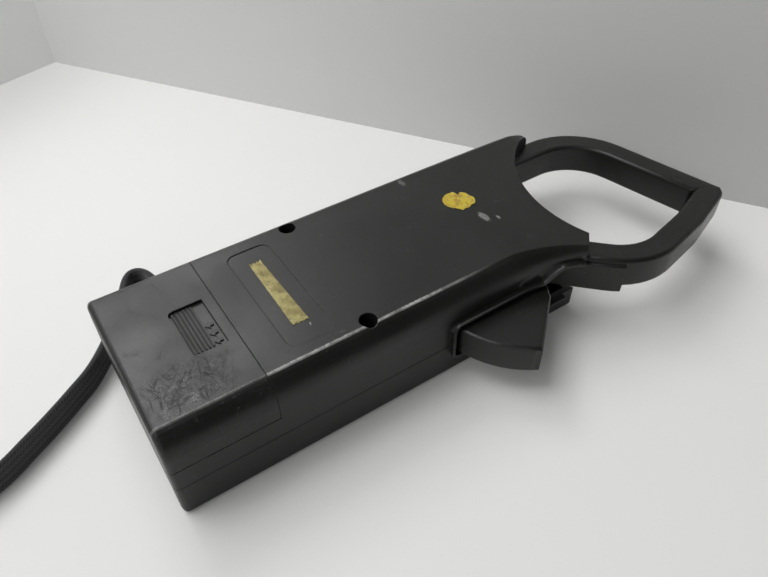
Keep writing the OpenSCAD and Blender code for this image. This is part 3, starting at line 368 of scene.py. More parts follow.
def add_parting_line(s, place, colour, rough):
    """Thin dark groove where the two shells meet."""
    off = s.math("ABSOLUTE", s.math("SUBTRACT", s.axes(place)["Z"], PARTING_Z * MM))
    groove = s.range(off, 0.00032, 0.00012)
    colour = s.mix(s.math("MULTIPLY", groove, 0.93), colour, GROOVE_BLACK)
    return colour, s.math("ADD", rough, s.math("MULTIPLY", groove, 0.4))


def case_plastic(name, grain=1.0, scratch_per_m=60.0, scratch_cover=0.34, scuffs=(), parting=False,
                 crease=None, rubbed=None, bead=False, polish=(0.43, 0.33)):
    """Dark moulding of the shells, cover and jaws, handled for years."""
    made, s, shader = start_material(name)
    place = s.place()
    wear = use(s, WEAR, Radius=0.0005, Amount=0.55)
    lines = use(s, HAIRLINES, Per_m=scratch_per_m, Cover=scratch_cover, Thickness=0.012)
    hands = use(s, HANDLING, Size_per_m=26.0)
    shade = s.range(s.noise(place, 40.0, 3.0, 0.55), 0.3, 0.7)
    colour = s.mix(shade, CASE_COLOUR, CASE_PALER)
    colour = s.mix(s.math("MULTIPLY", lines.outputs["Mask"], 0.55), colour, SCRATCH_PALE)
    colour = s.mix(s.math("MULTIPLY", hands.outputs["Dust"], 0.6), colour, DUST_GREY)
    colour = s.mix(wear.outputs["Mask"], colour, CASE_WORN)
    rough = s.range(hands.outputs["Polish"], 0.0, 1.0, *polish)
    rough = s.math("ADD", rough, s.math("MULTIPLY", lines.outputs["Mask"], 0.18))
    rough = s.math("SUBTRACT", rough, s.math("MULTIPLY", wear.outputs["Mask"], 0.10))
    colour = add_scuffs(s, place, colour, scuffs)
    if rubbed:
        colour, rough = add_rubbed_patch(s, place, colour, rough, rubbed)
    # the crease line is partly wear and partly painted highlight
    if crease:
        colour = add_crease_wear(s, place, colour, crease)
    # the bead gets a painted highlight
    if bead:
        colour, rough = add_bead_wear(s, place, colour, rough)
    if parting:
        colour, rough = add_parting_line(s, place, colour, rough)
    s.put(shader, "Base Color", colour)
    s.put(shader, "Roughness", rough)
    shader.inputs["IOR"].default_value = 1.42
    height = s.math("SUBTRACT", use(s, GRAIN, Depth=grain).outputs["Height"],
                    s.math("MULTIPLY", lines.outputs["Mask"], 0.8))
    bump(s, shader, height, 0.00003, wear.outputs["Normal"])
    return made


def plain_plastic(name, low, high, rough=0.45, grain=0.6, coat=0.0):
    """Smaller mouldings: two close shades, grain and a little edge wear."""
    made, s, shader = start_material(name)
    wear = use(s, WEAR, Radius=0.0003, Amount=0.4)
    shade = s.range(s.noise(s.place(), 120.0, 3.0, 0.6), 0.3, 0.7)
    worn = tuple(min(1.0, c * 2.2 + 0.03) for c in high[:3]) + (1.0,)
    s.put(shader, "Base Color", s.mix(wear.outputs["Mask"], s.mix(shade, low, high), worn))
    uneven = s.noise(s.place(), 260.0, 3.0, 0.6)
    s.put(shader, "Roughness", s.range(uneven, 0.2, 0.8, rough - 0.07, rough + 0.07))
    shader.inputs["Coat Weight"].default_value = coat
    bump(s, shader, use(s, GRAIN, Depth=grain).outputs["Height"], 0.00002, wear.outputs["Normal"])
    return made


def bare_metal(name, low, high, rough=0.3, brushed=(1, 1, 1), per_m=1500.0):
    made, s, shader = start_material(name)
    place = s.mapped(s.place(), stretch=brushed)
    streak = s.noise(place, per_m, 3.0, 0.6)
    stain = s.range(s.noise(s.place(), 180.0, 3.0, 0.6), 0.45, 0.75)
    stained = tuple(c * 0.6 for c in low[:3]) + (1.0,)
    s.put(shader, "Base Color", s.mix(stain, s.mix(streak, low, high), stained))
    s.put(shader, "Roughness", s.range(streak, 0.2, 0.8, rough - 0.08, rough + 0.12))
    shader.inputs["Metallic"].default_value = 1.0
    bump(s, shader, streak, 0.00001)
    return made


def laminated_steel(name):
    made, s, shader = start_material(name)
    z = s.axes(s.place())["Z"]
    sheets = s.math("PINGPONG", s.math("MULTIPLY", z, 2000.0), 1.0)
    tone = s.range(sheets, 0.1, 0.5)
    s.put(shader, "Base Color", s.mix(tone, rgb(0.08, 0.08, 0.085), rgb(0.42, 0.42, 0.44)))
    s.put(shader, "Roughness", s.range(s.noise(s.place(), 300.0), 0.3, 0.7, 0.32, 0.5))
    shader.inputs["Metallic"].default_value = 1.0
    bump(s, shader, sheets, 0.00004)
    return made


def circuit_green(name):
    made, s, shader = start_material(name)
    place = s.place()
    grid = s.add("ShaderNodeTexVoronoi", Vector=s.mapped(place, stretch=(1, 0.35, 1)), Scale=420.0)
    grid.distance = "MANHATTAN"
    grid.feature = "F1"
    tracks = s.range(grid.outputs["Distance"], 0.42, 0.5)
    s.put(shader, "Base Color", s.mix(tracks, rgb(0.012, 0.085, 0.03), rgb(0.03, 0.19, 0.07)))
    s.put(shader, "Roughness", s.range(s.noise(place, 300.0), 0.3, 0.7, 0.25, 0.4))
    shader.inputs["Coat Weight"].default_value = 0.4
    bump(s, shader, tracks, 0.00004)
    return made


def clear_window(name):
    made, s, shader = start_material(name)
    smear = s.range(s.noise(s.place(), 90.0, 3.0, 0.6), 0.4, 0.8)
    s.put(shader, "Base Color", s.mix(smear, rgb(0.93, 0.96, 0.95), rgb(0.85, 0.88, 0.87)))
    s.put(shader, "Roughness", s.range(smear, 0.0, 1.0, 0.04, 0.12))
    shader.inputs["Transmission Weight"].default_value = 1.0
    shader.inputs["IOR"].default_value = 1.49
    bump(s, shader, s.noise(s.place(), 60.0), 0.00001)
    return made


def display_glass(name):
    made, s, shader = start_material(name)
    haze = s.noise(s.place(), 60.0, 3.0, 0.5)
    s.put(shader, "Base Color", s.mix(haze, rgb(0.26, 0.30, 0.23), rgb(0.34, 0.38, 0.30)))
    s.put(shader, "Roughness", s.range(haze, 0.3, 0.7, 0.12, 0.22))
    shader.inputs["Coat Weight"].default_value = 0.5
    bump(s, shader, s.noise(s.place(), 2200.0), 0.00001)
    return made


def soft_rubber(name):
    made, s, shader = start_material(name)
    x = s.axes(s.place())["X"]
    stripe = s.range(s.math("PINGPONG", s.math("MULTIPLY", x, 5000.0), 1.0), 0.3, 0.7)
    s.put(shader, "Base Color", s.mix(stripe, rgb(0.5, 0.16, 0.2), rgb(0.07, 0.06, 0.06)))
    s.put(shader, "Roughness", s.range(s.noise(s.place(), 400.0), 0.3, 0.7, 0.7, 0.85))
    bump(s, shader, s.noise(s.place(), 900.0), 0.00003)
    return made


def aged_foil(name):
    """Yellowed metal foil with creases, rubbed pale in patches."""
    made, s, shader = start_material(name)
    place = s.place()
    crease = s.noise(s.mapped(place, stretch=(1, 0.4, 1)), 500.0, 5.0, 0.7)
    rub = s.range(s.noise(place, 160.0, 4.0, 0.7), 0.4, 0.62)
    dirt = s.range(s.noise(place, 520.0, 5.0, 0.8), 0.53, 0.64)
    colour = s.mix(rub, rgb(0.19, 0.150, 0.042), rgb(0.30, 0.265, 0.105))
    colour = s.mix(s.math("MULTIPLY", dirt, 0.85), colour, rgb(0.055, 0.045, 0.022))
    s.put(shader, "Base Color", colour)
    s.put(shader, "Roughness", s.range(crease, 0.3, 0.7, 0.34, 0.6))
    s.put(shader, "Metallic", s.range(rub, 0.0, 1.0, 0.25, 0.45))
    bump(s, shader, crease, 0.00006)
    return made


def torn_paper(name):
    """Bright sticker worn through in patches to ochre paper and a pink-brown glue."""
    made, s, shader = start_material(name)
    place = s.place()
    blot = s.noise(place, 420.0, 5.0, 0.7)
    ochre = s.range(blot, 0.50, 0.58)
    glue = s.range(s.noise(place, 330.0, 4.0, 0.7), 0.57, 0.62)
    pale = s.range(s.noise(place, 620.0, 4.0, 0.7), 0.6, 0.66)
    colour = s.mix(ochre, rgb(0.50, 0.38, 0.022), rgb(0.36, 0.24, 0.035))
    colour = s.mix(s.math("MULTIPLY", glue, 0.75), colour, rgb(0.20, 0.11, 0.05))
    colour = s.mix(s.math("MULTIPLY", pale, 0.8), colour, rgb(0.50, 0.39, 0.17))
    s.put(shader, "Base Color", colour)
    s.put(shader, "Roughness", s.range(blot, 0.3, 0.7, 0.45, 0.75))
    bump(s, shader, blot, 0.00012)
    return made


# ends of the strap's colour: the dark end falls in the grooves as painted shade, the pale end on the ridges
# as painted highlight
STRAP_DARK = rgb(0.004, 0.004, 0.005)
STRAP_LIGHT = rgb(0.105, 0.102, 0.118)


def braid(name):
    """Yarn of the strap; the relief itself is in the mesh, this adds its fibres and paints its grooves
    darker and its ridges paler as painted shade and highlight.
    """
    made, s, shader = start_material(name)
    place = s.place()
    height = s.nodes.new("ShaderNodeAttribute")
    height.attribute_name = "relief"
    yarn = s.noise(place, 5200.0, 3.0, 0.7)
    # colour follows the mesh relief, grooves dark as painted shade and ridges pale as painted highlight,
    # with a random yarn tone on top
    shade = s.math("ADD", s.math("MULTIPLY", height.outputs["Fac"], 0.8), s.math("MULTIPLY", yarn, 0.35))
    fade = s.range(s.noise(place, 45.0, 3.0, 0.6), 0.35, 0.7)
    colour = s.mix(s.range(shade, 0.55, 1.08), STRAP_DARK, STRAP_LIGHT)
    colour = s.mix(s.math("MULTIPLY", fade, 0.18), colour, rgb(0.05, 0.048, 0.052))
    s.put(shader, "Base Color", colour)
    s.put(shader, "Roughness", s.range(yarn, 0.3, 0.7, 0.72, 0.9))
    shader.inputs["Sheen Weight"].default_value = 0.35
    shader.inputs["Sheen Roughness"].default_value = 0.5
    bump(s, shader, yarn, 0.00012)
    return made


def print_ink(name, colour):
    made, s, shader = start_material(name)
    fade = s.range(s.noise(s.place(), 700.0, 4.0, 0.7), 0.35, 0.6)
    s.put(shader, "Base Color", s.mix(fade, tuple(c * 0.6 for c in colour[:3]) + (1.0,), colour))
    s.put(shader, "Roughness", s.range(fade, 0.0, 1.0, 0.65, 0.5))
    bump(s, shader, s.noise(s.place(), 1500.0), 0.00001)
    return made


SCUFFS = (
    (7.4, 135.6, 3.6, -0.64, SCUFF_GREY),
    (10.4, 139.8, 1.5, 0.9, SCUFF_GREY),
    (-27.0, 122.3, 2.8, -0.4, rgb(0.16, 0.16, 0.15)),
    (18.6, 56.4, 0.55, 0.0, rgb(0.62, 0.62, 0.6)),
)
CREASE_X = 29.2

MATERIALS = {
    "rear": case_plastic("rear_shell_plastic", scuffs=SCUFFS, parting=True, bead=True,
                         crease=(CREASE_X, 88.0, 125.0, 1.0)),
    "front": case_plastic("front_shell_plastic", parting=True),
    "cover": case_plastic("cover_plastic", scratch_per_m=80.0, scratch_cover=0.40,
                          crease=(CREASE_X, 60.0, 61.0, 0.30), rubbed=(20.0, 15.0, 12.0, 17.0)),
    "jaw": case_plastic("jaw_plastic", grain=0.7, scratch_cover=0.28, polish=(0.34, 0.25)),
    "dark": plain_plastic("dark_plastic", rgb(0.012, 0.012, 0.013), rgb(0.02, 0.02, 0.021)),
    "pale": plain_plastic("pale_plastic", rgb(0.55, 0.52, 0.43), rgb(0.66, 0.63, 0.54)),
    "blue": plain_plastic("blue_plastic", rgb(0.02, 0.05, 0.16), rgb(0.03, 0.09, 0.26), 0.25, coat=0.3),
    "red": plain_plastic("lead_plastic", rgb(0.25, 0.012, 0.01), rgb(0.38, 0.02, 0.015), 0.35),
    "steel": bare_metal("steel", rgb(0.36, 0.36, 0.37), rgb(0.56, 0.56, 0.57)),
    "core": laminated_steel("laminated_steel"),
    "brass": bare_metal("brass", rgb(0.48, 0.33, 0.13), rgb(0.68, 0.50, 0.22), 0.28),
    "copper": bare_metal("enamelled_copper", rgb(0.30, 0.09, 0.03), rgb(0.55, 0.22, 0.09), 0.3,
                         brushed=(8, 1, 1), per_m=500.0),
    "board": circuit_green("board_lacquer"),
    "window": clear_window("window_plastic"),
    "display": display_glass("display_glass"),
    "contact": soft_rubber("contact_rubber"),
    "foil": aged_foil("aged_foil"),
    "sticker": torn_paper("torn_sticker"),
    "strap": braid("braided_yarn"),
    "ink": print_ink("print_white", rgb(0.72, 0.72, 0.70)),
    "ink_red": print_ink("print_red", rgb(0.55, 0.04, 0.03)),
    "segment": print_ink("display_segment", rgb(0.17, 0.20, 0.15)),
    "thread": print_ink("stitching_thread", rgb(0.05, 0.05, 0.055)),
    "webbing": plain_plastic("sleeve_webbing", rgb(0.012, 0.012, 0.014), rgb(0.03, 0.03, 0.034),
                             rough=0.8, grain=1.6),
}

NODE_MATERIALS = {
    "front_shell": "front", "rear_shell": "rear", "battery_cover": "cover", "fixed_jaw": "jaw",
    "jaw_lever": "jaw", "fixed_core": "core", "moving_core": "core", "pickup_coil": "copper",
    "coil_bobbin": "dark", "coil_leads": "red", "jaw_pin": "steel", "jaw_spring": "steel",
    "case_screws": "steel", "circuit_board": "board", "board_screws": "steel", "main_chip": "dark",
    "capacitors": "blue", "trimmers": "blue", "resistors": "pale", "shunt": "copper", "fuse": "steel",
    "buzzer": "dark", "display_glass": "display", "display_frame": "dark", "contact_strips": "contact",
    "display_window": "window", "front_overlay": "dark", "range_dial": "dark", "dial_rotor": "pale",
    "rotor_contacts": "brass", "detent_balls": "steel", "sockets": "brass", "hold_button": "dark",
    "hold_switch": "dark", "battery": "blue", "battery_terminals": "steel", "battery_snap": "dark",
    "battery_leads": "red", "foil_label": "foil", "torn_label": "sticker", "strap_post": "steel",
    "strap": "strap",
}
for node_name, material_name in NODE_MATERIALS.items():
    mesh = cad_nodes[node_name].data
    mesh.materials.clear()
    mesh.materials.append(MATERIALS[material_name])


# ---------- Helpers for pieces ----------

def select_only(piece):
    bpy.ops.object.select_all(action="DESELECT")
    piece.select_set(True)
    bpy.context.view_layer.objects.active = piece


def settle(piece):
    """Puts the piece's place into its mesh."""
    select_only(piece)
    bpy.ops.object.transform_apply(location=True, rotation=True, scale=True)


def dress(piece, name, body, material, replaces=()):
    piece.name = name
    piece.data.name = name
    piece.data.materials.clear()
    piece.data.materials.append(MATERIALS[material])
    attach(piece, body)
    if replaces:
        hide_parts(*replaces)
    return piece


def add_mesh(name, verts, faces):
    mesh = bpy.data.meshes.new(name)
    mesh.from_pydata(verts, [], faces)
    piece = bpy.data.objects.new(name, mesh)
    bpy.context.scene.collection.objects.link(piece)
    select_only(piece)
    return piece


def modify(piece, kind, **settings):
    select_only(piece)
    bpy.ops.object.modifier_add(type=kind)
    made = piece.modifiers[-1]
    for name, value in settings.items():
        setattr(made, name, value)
    bpy.ops.object.modifier_apply(modifier=made.name)


def edit_all(piece, operator, **settings):
    """Runs an edit-mode operator on the whole mesh."""
    select_only(piece)
    bpy.ops.object.mode_set(mode="EDIT")
    bpy.ops.mesh.select_all(action="SELECT")
    operator(**settings)
    bpy.ops.object.mode_set(mode="OBJECT")


def face_outward(piece):
    edit_all(piece, bpy.ops.mesh.normals_make_consistent, inside=False)


def flat_ring(x, y, z, inner, outer, height, count=64):
    verts, faces = [], []
    for k in range(count):
        a = 2 * math.pi * k / count
        for r, dz in ((inner, 0), (outer, 0), (outer, height), (inner, height)):
            verts.append(at(x + r * math.cos(a), y + r * math.sin(a), z + dz))
    for k in range(count):
        a, b = 4 * k, 4 * ((k + 1) % count)
        faces += [(a + j, a + (j + 1) % 4, b + (j + 1) % 4, b + j) for j in range(4)]
    return verts, faces


def prism(outline, low, high):
    """Corners and faces of an upright prism over a flat outline."""
    n = len(outline)
    verts = [at(x, y, z) for z in (low, high) for x, y in outline]
    sides = [(k, (k + 1) % n, n + (k + 1) % n, n + k) for k in range(n)]
    return verts, [tuple(range(n)), tuple(n + k for k in reversed(range(n)))] + sides


def flat_bar(x, y, z, width, length, height):
    half_x, half_y = width / 2, length / 2
    outline = [(x + dx * half_x, y + dy * half_y) for dx, dy in ((-1, -1), (1, -1), (1, 1), (-1, 1))]
    return prism(outline, z, z + height)


def add_marks(name, body, material, shapes):
    """One piece from several small flat shapes."""
    verts, faces = [], []
    for more_verts, more_faces in shapes:
        faces += [tuple(k + len(verts) for k in face) for face in more_faces]
        verts += more_verts
    piece = add_mesh(name, verts, faces)
    face_outward(piece)
    return dress(piece, name, body, material)


def merged_copy(node_name, name):
    """A copy of a CAD node with its loose triangles joined at their corners."""
    piece = bpy.data.objects.new(name, cad_nodes[node_name].data.copy())
    bpy.context.scene.collection.objects.link(piece)
    edit_all(piece, bpy.ops.mesh.remove_doubles, threshold=0.002 * MM)
    return piece


FLAT_BACK_Z = 35.5
FLAT_BACK_SIDE_X = 28.0
FLAT_BACK_END_Y = 130.0
SHALLOW_ANGLE = 7.0


def keep_creases(piece):
    """Marks the long edges of the flat back as sharp, also where they are shallow."""
    form = bmesh.new()
    form.from_mesh(piece.data)
    for edge in form.edges:
        high = all(v.co.z > FLAT_BACK_Z * MM for v in edge.verts)
        beside = all(abs(v.co.x) > FLAT_BACK_SIDE_X * MM and v.co.y < (FLAT_BACK_END_Y - DIAL_Y) * MM
                     for v in edge.verts)
        bent = len(edge.link_faces) == 2 and edge.calc_face_angle() > math.radians(SHALLOW_ANGLE)
        if high and beside and bent:
            edge.smooth = False
    form.to_mesh(piece.data)
    form.free()


def smooth_copy(node_name, name, body, angle, sharpen=False):
    """A merged, smooth-shaded copy of a CAD node that stands for it."""
    piece = merged_copy(node_name, name)
    edit_all(piece, bpy.ops.mesh.dissolve_limited, angle_limit=math.radians(0.4))
    bpy.ops.object.shade_smooth_by_angle(angle=math.radians(angle))
    if sharpen:
        keep_creases(piece)
    modify(piece, "WEIGHTED_NORMAL", mode="FACE_AREA_WITH_ANGLE", keep_sharp=True, weight=50)
    return dress(piece, name, body, NODE_MATERIALS[node_name], replaces=(node_name,))


# ---------- Strap ----------

STRAP_WIDTH = 10.5
STRAP_THICK = 2.0
STRAP_ROUTE = (
    (-31.1, 28.8, 7.6), (-37, 28.8, 7.6), (-44, 28.7, 7.3), (-52, 28.1, 6.9), (-60, 27.2, 6.5),
    (-65.2, 25.7, 6.4), (-68.1, 23.2, 6.3), (-68.3, 20.2, 6.2), (-65.8, 17.4, 6.1), (-61, 14.7, 6),
    (-55, 11.4, 5.8), (-49, 7.8, 5.7), (-43, 3.8, 5.6), (-37.4, -0.4, 5.5), (-32.4, -4.6, 5.5),
    (-28.2, -9, 5.5), (-24.4, -14.2, 5.5), (-20.4, -19.8, 5.5), (-15.9, -26.5, 5.5),
    (-11.6, -33.5, 5.5), (-7.5, -40.2, 5.5), (-4.4, -47.6, 5.5), (-2.6, -55.7, 5.5),
    (-1.9, -64.2, 5.5), (-2, -72.7, 5.5), (-2.3, -81.2, 5.5), (-1.4, -89.2, 5.5), (2, -96.8, 5.5),
    (7.6, -104, 5.5), (13.4, -111.2, 5.5), (17.2, -119.2, 5.5), (17.6, -128.2, 5.5),
    (14.2, -136.6, 5.5), (7, -142.2, 5.5), (-2, -144.2, 5.5), (-11, -142.2, 5.5), (-18.2, -136.6, 5.5),
    (-21.8, -128.2, 5.5), (-21.4, -119.2, 5.5), (-17.4, -111.2, 5.5), (-11.4, -104.2, 5.5),
    (-7, -97.2, 5.5), (-5, -89.6, 5.5), (-4.8, -82.2, 5.5),
)
RING_STEP = 0.27
CURVE_STEPS = 24  # points on each stretch of the curve before it is measured
EDGE_RADIUS = 0.6
ROWS = 4
YARN_PITCH = 1.3
YARN_RELIEF = 0.3
YARN_SLANT = 1.9


def spline(points, step):
    """Points a fixed step apart along a smooth line through the given ones."""
    dense = []
    for i in range(len(points) - 1):
        p0, p1, p2, p3 = (Vector(points[max(0, min(len(points) - 1, i + k))]) for k in (-1, 0, 1, 2))
        for k in range(CURVE_STEPS):
            t = k / CURVE_STEPS
            dense.append(0.5 * (2 * p1 + (p2 - p0) * t + (2 * p0 - 5 * p1 + 4 * p2 - p3) * t * t
                                + (3 * p1 - p0 - 3 * p2 + p3) * t ** 3))
    dense.append(Vector(points[-1]))
    lengths = [0.0]
    for a, b in zip(dense, dense[1:]):
        lengths.append(lengths[-1] + (b - a).length)
    count = round(lengths[-1] / step)
    found, k = [], 0
    for i in range(count + 1):
        want = lengths[-1] * i / count
        while k < len(lengths) - 2 and lengths[k + 1] < want:
            k += 1
        share = (want - lengths[k]) / max(1e-9, lengths[k + 1] - lengths[k])
        found.append(dense[k].lerp(dense[k + 1], share))
    return found, lengths[-1]


def braid_height(along, across):
    """Relief of the flat braid, 0 to 1: columns of yarn that slant in turn to either side."""
    column = (across + STRAP_WIDTH / 2) / (STRAP_WIDTH / ROWS)
    k = min(ROWS - 1, max(0, math.floor(column)))
    t = column - k
    slant = 1 if k % 2 else -1
    ridge = abs(math.sin(math.pi * (along / YARN_PITCH + slant * (t - 0.5) * YARN_SLANT)))
    return (0.45 + 0.55 * max(0.0, math.sin(math.pi * t)) ** 0.5) * (0.2 + 0.8 * ridge ** 0.8)


def strap_section():
    """(across, outward thickness share) round the band, with round edges."""
    half, flat_width = STRAP_WIDTH / 2, STRAP_WIDTH - 2 * EDGE_RADIUS
    flat = [(-half + EDGE_RADIUS + flat_width * k / 22, 1) for k in range(23)]
    edge = [(half - EDGE_RADIUS + EDGE_RADIUS * math.sin(a), math.cos(a))
            for a in (0.6, 1.1, math.pi / 2, 2.04, 2.54)]
    return flat + edge + [(-x, -share) for x, share in flat + edge]


def make_strap():
    line, length = spline(STRAP_ROUTE, RING_STEP)
    section = strap_section()
    half = STRAP_THICK / 2 - 0.14
    verts, relief, faces = [], [], []
    for i, p in enumerate(line):
        ahead = (line[min(i + 1, len(line) - 1)] - line[max(i - 1, 0)]).normalized()
        side = Vector((ahead.y, -ahead.x, 0)).normalized()
        for across, share in section:
            h = braid_height(i * RING_STEP, across)
            out = share * (half + YARN_RELIEF * h * abs(share))
            verts.append(at(*(p + side * out + Vector((0, 0, across)))))
            relief.append(h)
    n = len(section)
    for i in range(len(line) - 1):
        for j in range(n):
            k = (j + 1) % n
            faces.append((i * n + j, i * n + k, (i + 1) * n + k, (i + 1) * n + j))
    faces.append(tuple(range(n - 1, -1, -1)))
    faces.append(tuple((len(line) - 1) * n + j for j in range(n)))
    piece = add_mesh("wrist_strap", verts, faces)
    piece.data.attributes.new("relief", "FLOAT", "POINT").data.foreach_set("value", relief)
    face_outward(piece)
    bpy.ops.object.shade_smooth()
    dress(piece, "wrist_strap", "case", "strap", ("strap",))
    path = [at(*p) for p in line[::10]] + [at(*line[-1])]
    return piece, path, length


KEEPER_MIDDLE = (-3.3, -83.6, 5.45)
KEEPER_HALF = (3.0, 4.8, 5.4)
KEEPER_POINTS = 40
KEEPER_STATIONS = ((-1.0, 0.90), (-0.94, 1.0), (-0.5, 0.985), (0, 0.96), (0.5, 0.985), (0.94, 1.0),
                   (1.0, 0.90))
STITCH_ROWS_Y = (-3.6, 3.6)
STITCH_PITCH = 1.3
STITCHES = 7


def make_keeper():
    """Sewn sleeve that closes the loop: it hides the band's end beside the standing part."""
    middle, half, around = KEEPER_MIDDLE, KEEPER_HALF, KEEPER_POINTS
    verts, faces = [], []
    for t, share in KEEPER_STATIONS:
        for k in range(around):
            a = 2 * math.pi * k / around
            c, d = math.cos(a), math.sin(a)
            x = half[0] * share * math.copysign(abs(c) ** 0.45, c)
            z = half[2] * share * math.copysign(abs(d) ** 0.30, d)
            verts.append(at(middle[0] + x, middle[1] + t * half[1], middle[2] + z))
    for i in range(len(KEEPER_STATIONS) - 1):
        a, b = i * around, (i + 1) * around
        faces += [(a + k, a + (k + 1) % around, b + (k + 1) % around, b + k) for k in range(around)]
    faces.append(tuple(range(around)))
    faces.append(tuple((len(KEEPER_STATIONS) - 1) * around + k for k in reversed(range(around))))
    piece = add_mesh("strap_keeper", verts, faces)
    face_outward(piece)
    bpy.ops.object.shade_smooth_by_angle(angle=math.radians(40))
    dress(piece, "strap_keeper", "case", "webbing")
    stitches = []
    for side in (-1, 1):
        x = middle[0] + side * half[0] * 0.985
        for y in STITCH_ROWS_Y:
            for k in range(STITCHES):
                z = middle[2] + STITCH_PITCH * (k - (STITCHES - 1) / 2)
                stitches.append(flat_bar(x, middle[1] + y, z - 0.4, 0.3, 0.35, 0.8))
    thread = add_marks("keeper_stitches", "case", "thread", stitches)
    modify(thread, "BEVEL", width=0.08 * MM, segments=2, limit_method="ANGLE")
    return [piece, thread]


strap, strap_path, strap_length = make_strap()
make_keeper()


# ---------- Case, cover and jaws ----------

for node_name, body, angle, sharpen in (
        ("front_shell", "case", 25.0, False), ("rear_shell", "case", 25.0, True),
        ("battery_cover", "cover", 25.0, True), ("fixed_jaw", "case", 50.0, False),
        ("jaw_lever", "jaw", 50.0, False)):
    smooth_copy(node_name, "dressed_" + node_name, body, angle, sharpen)


def make_jaw_spring():
    """A merged, smooth-shaded copy of the jaw spring that stands for it, with its place put into its mesh.
    """
    piece = merged_copy("jaw_spring", "wound_jaw_spring")
    bpy.ops.object.shade_smooth_by_angle(angle=math.radians(50))
    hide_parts("jaw_spring")
    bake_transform(piece)


# ---------- Labels and small raised or printed marks ----------

def waver(k, seed):
    """A fixed uneven number between -1 and 1."""
    return 0.6 * math.sin(k * 12.99 + seed * 4.14) + 0.4 * math.sin(k * 3.77 + seed * 9.2)


FOIL_GLUE = 0.02
FOIL_THICK = 0.09
STICKER_GLUE = 0.03
STICKER_THICK = 0.11
STICKER_RINGS = 9
STICKER_POINTS = 120


def make_foil():
    """Strip of foil with ragged ends and corners that have started to lift."""
    low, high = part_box("foil_label")
    middle, size = (low + high) / 2, high - low
    bpy.ops.mesh.primitive_grid_add(x_subdivisions=72, y_subdivisions=14, size=2)
    piece = bpy.context.object
    for v in piece.data.vertices:
        u, w = v.co.x, v.co.y
        ragged = 0.45 * MM * abs(u) ** 14 * waver(w * 2.6, 1 if u > 0 else 5)
        uneven = 0.10 * MM * abs(w) ** 12 * waver(u * 7, 3)
        lift = max(0.0, abs(u) * 17 - 15.6) * max(0.0, abs(w) * 2 - 1.1)
        taper = 0.88 + 0.12 * u
        v.co = (middle.x + (u * 0.97 - 0.03) * size.x / 2 + ragged,
                middle.y + w * taper * size.y / 2 + uneven,
                low.z + FOIL_GLUE * MM + 0.22 * MM * lift)
    modify(piece, "SOLIDIFY", thickness=FOIL_THICK * MM, offset=1.0)
    bpy.ops.object.shade_smooth_by_angle(angle=math.radians(35))
    dress(piece, "worn_foil_label", "case", "foil", ("foil_label",))


def sticker_radius(a):
    """Round sticker, in mm, with a torn notch at its far side and a loose scrap at the near one."""
    def bump_at(where, width):
        off = (a - math.radians(where) + math.pi) % (2 * math.pi) - math.pi
        return math.exp(-(off / math.radians(width)) ** 2)
    return (5.7 + 0.5 * math.cos(2 * (a - math.radians(57))) + 0.10 * waver(a * 3, 2) - 1.9 * bump_at(150, 9)
            + 0.8 * bump_at(-22, 8) - 0.7 * bump_at(95, 16) - 0.5 * bump_at(22, 13))


def make_sticker():
    low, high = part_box("torn_label")
    middle = (low + high) / 2
    ground = low.z + STICKER_GLUE * MM
    verts, faces = [Vector((middle.x, middle.y, ground))], []
    for ring in range(1, STICKER_RINGS + 1):
        share = ring / STICKER_RINGS
        for k in range(STICKER_POINTS):
            a = 2 * math.pi * k / STICKER_POINTS
            r = sticker_radius(a) * MM * share
            lift = 0.20 * MM * share ** 10 * max(0.0, waver(a * 1.4, 4))
            verts.append(Vector((middle.x + r * math.cos(a), middle.y + r * math.sin(a),
                                 ground + lift + 0.015 * MM * waver(a * 5 + share * 9, 6))))
    n = STICKER_POINTS
    faces += [(0, 1 + k, 1 + (k + 1) % n) for k in range(n)]
    for ring in range(STICKER_RINGS - 1):
        a, b = 1 + ring * n, 1 + (ring + 1) * n
        faces += [(a + k, b + k, b + (k + 1) % n, a + (k + 1) % n) for k in range(n)]
    piece = add_mesh("torn_round_sticker", verts, faces)
    modify(piece, "SOLIDIFY", thickness=STICKER_THICK * MM, offset=1.0)
    bpy.ops.object.shade_smooth_by_angle(angle=math.radians(40))
    dress(piece, "torn_round_sticker", "case", "sticker", ("torn_label",))


ARROW = ((-0.55, 1.35), (-0.55, 0.1), (-1.6, 0.1), (0, -1.45), (1.6, 0.1), (0.55, 0.1), (0.55, 1.35))
RECESS_FLOOR_Z = 36.7
ARROWS_Y = 29.85
ARROWS_X = (0.6, 4.4, 8.2)


def make_slide_arrows():
    """Three raised arrows in the finger recess: they show which way the cover slides."""
    low, high = RECESS_FLOOR_Z - 0.1, RECESS_FLOOR_Z + 0.42
    shapes = [prism([(x + dx, ARROWS_Y + dy) for dx, dy in ARROW], low, high) for x in ARROWS_X]
    arrows = add_marks("slide_arrows", "cover", "cover", shapes)
    modify(arrows, "BEVEL", width=0.09 * MM, segments=2, limit_method="ANGLE")


PRINT_Z = 0.105
PRINT_HALF_THICK = 0.02
STEP_ANGLE = 15.0
TICK_FOOT, SHORT_TICK, LONG_TICK, TICK_HALF_WIDTH = 23.5, 24.4, 24.9, 0.16
NUMBER_SIZE = 2.3
NUMBER_REACH = 23.6  # how far up or down the panel a number may stand
RANGES = ("2", "20", "200", "2", "20", "200", "750", "200", "2", "20", "200", "2", "20", "200", "2", "20")


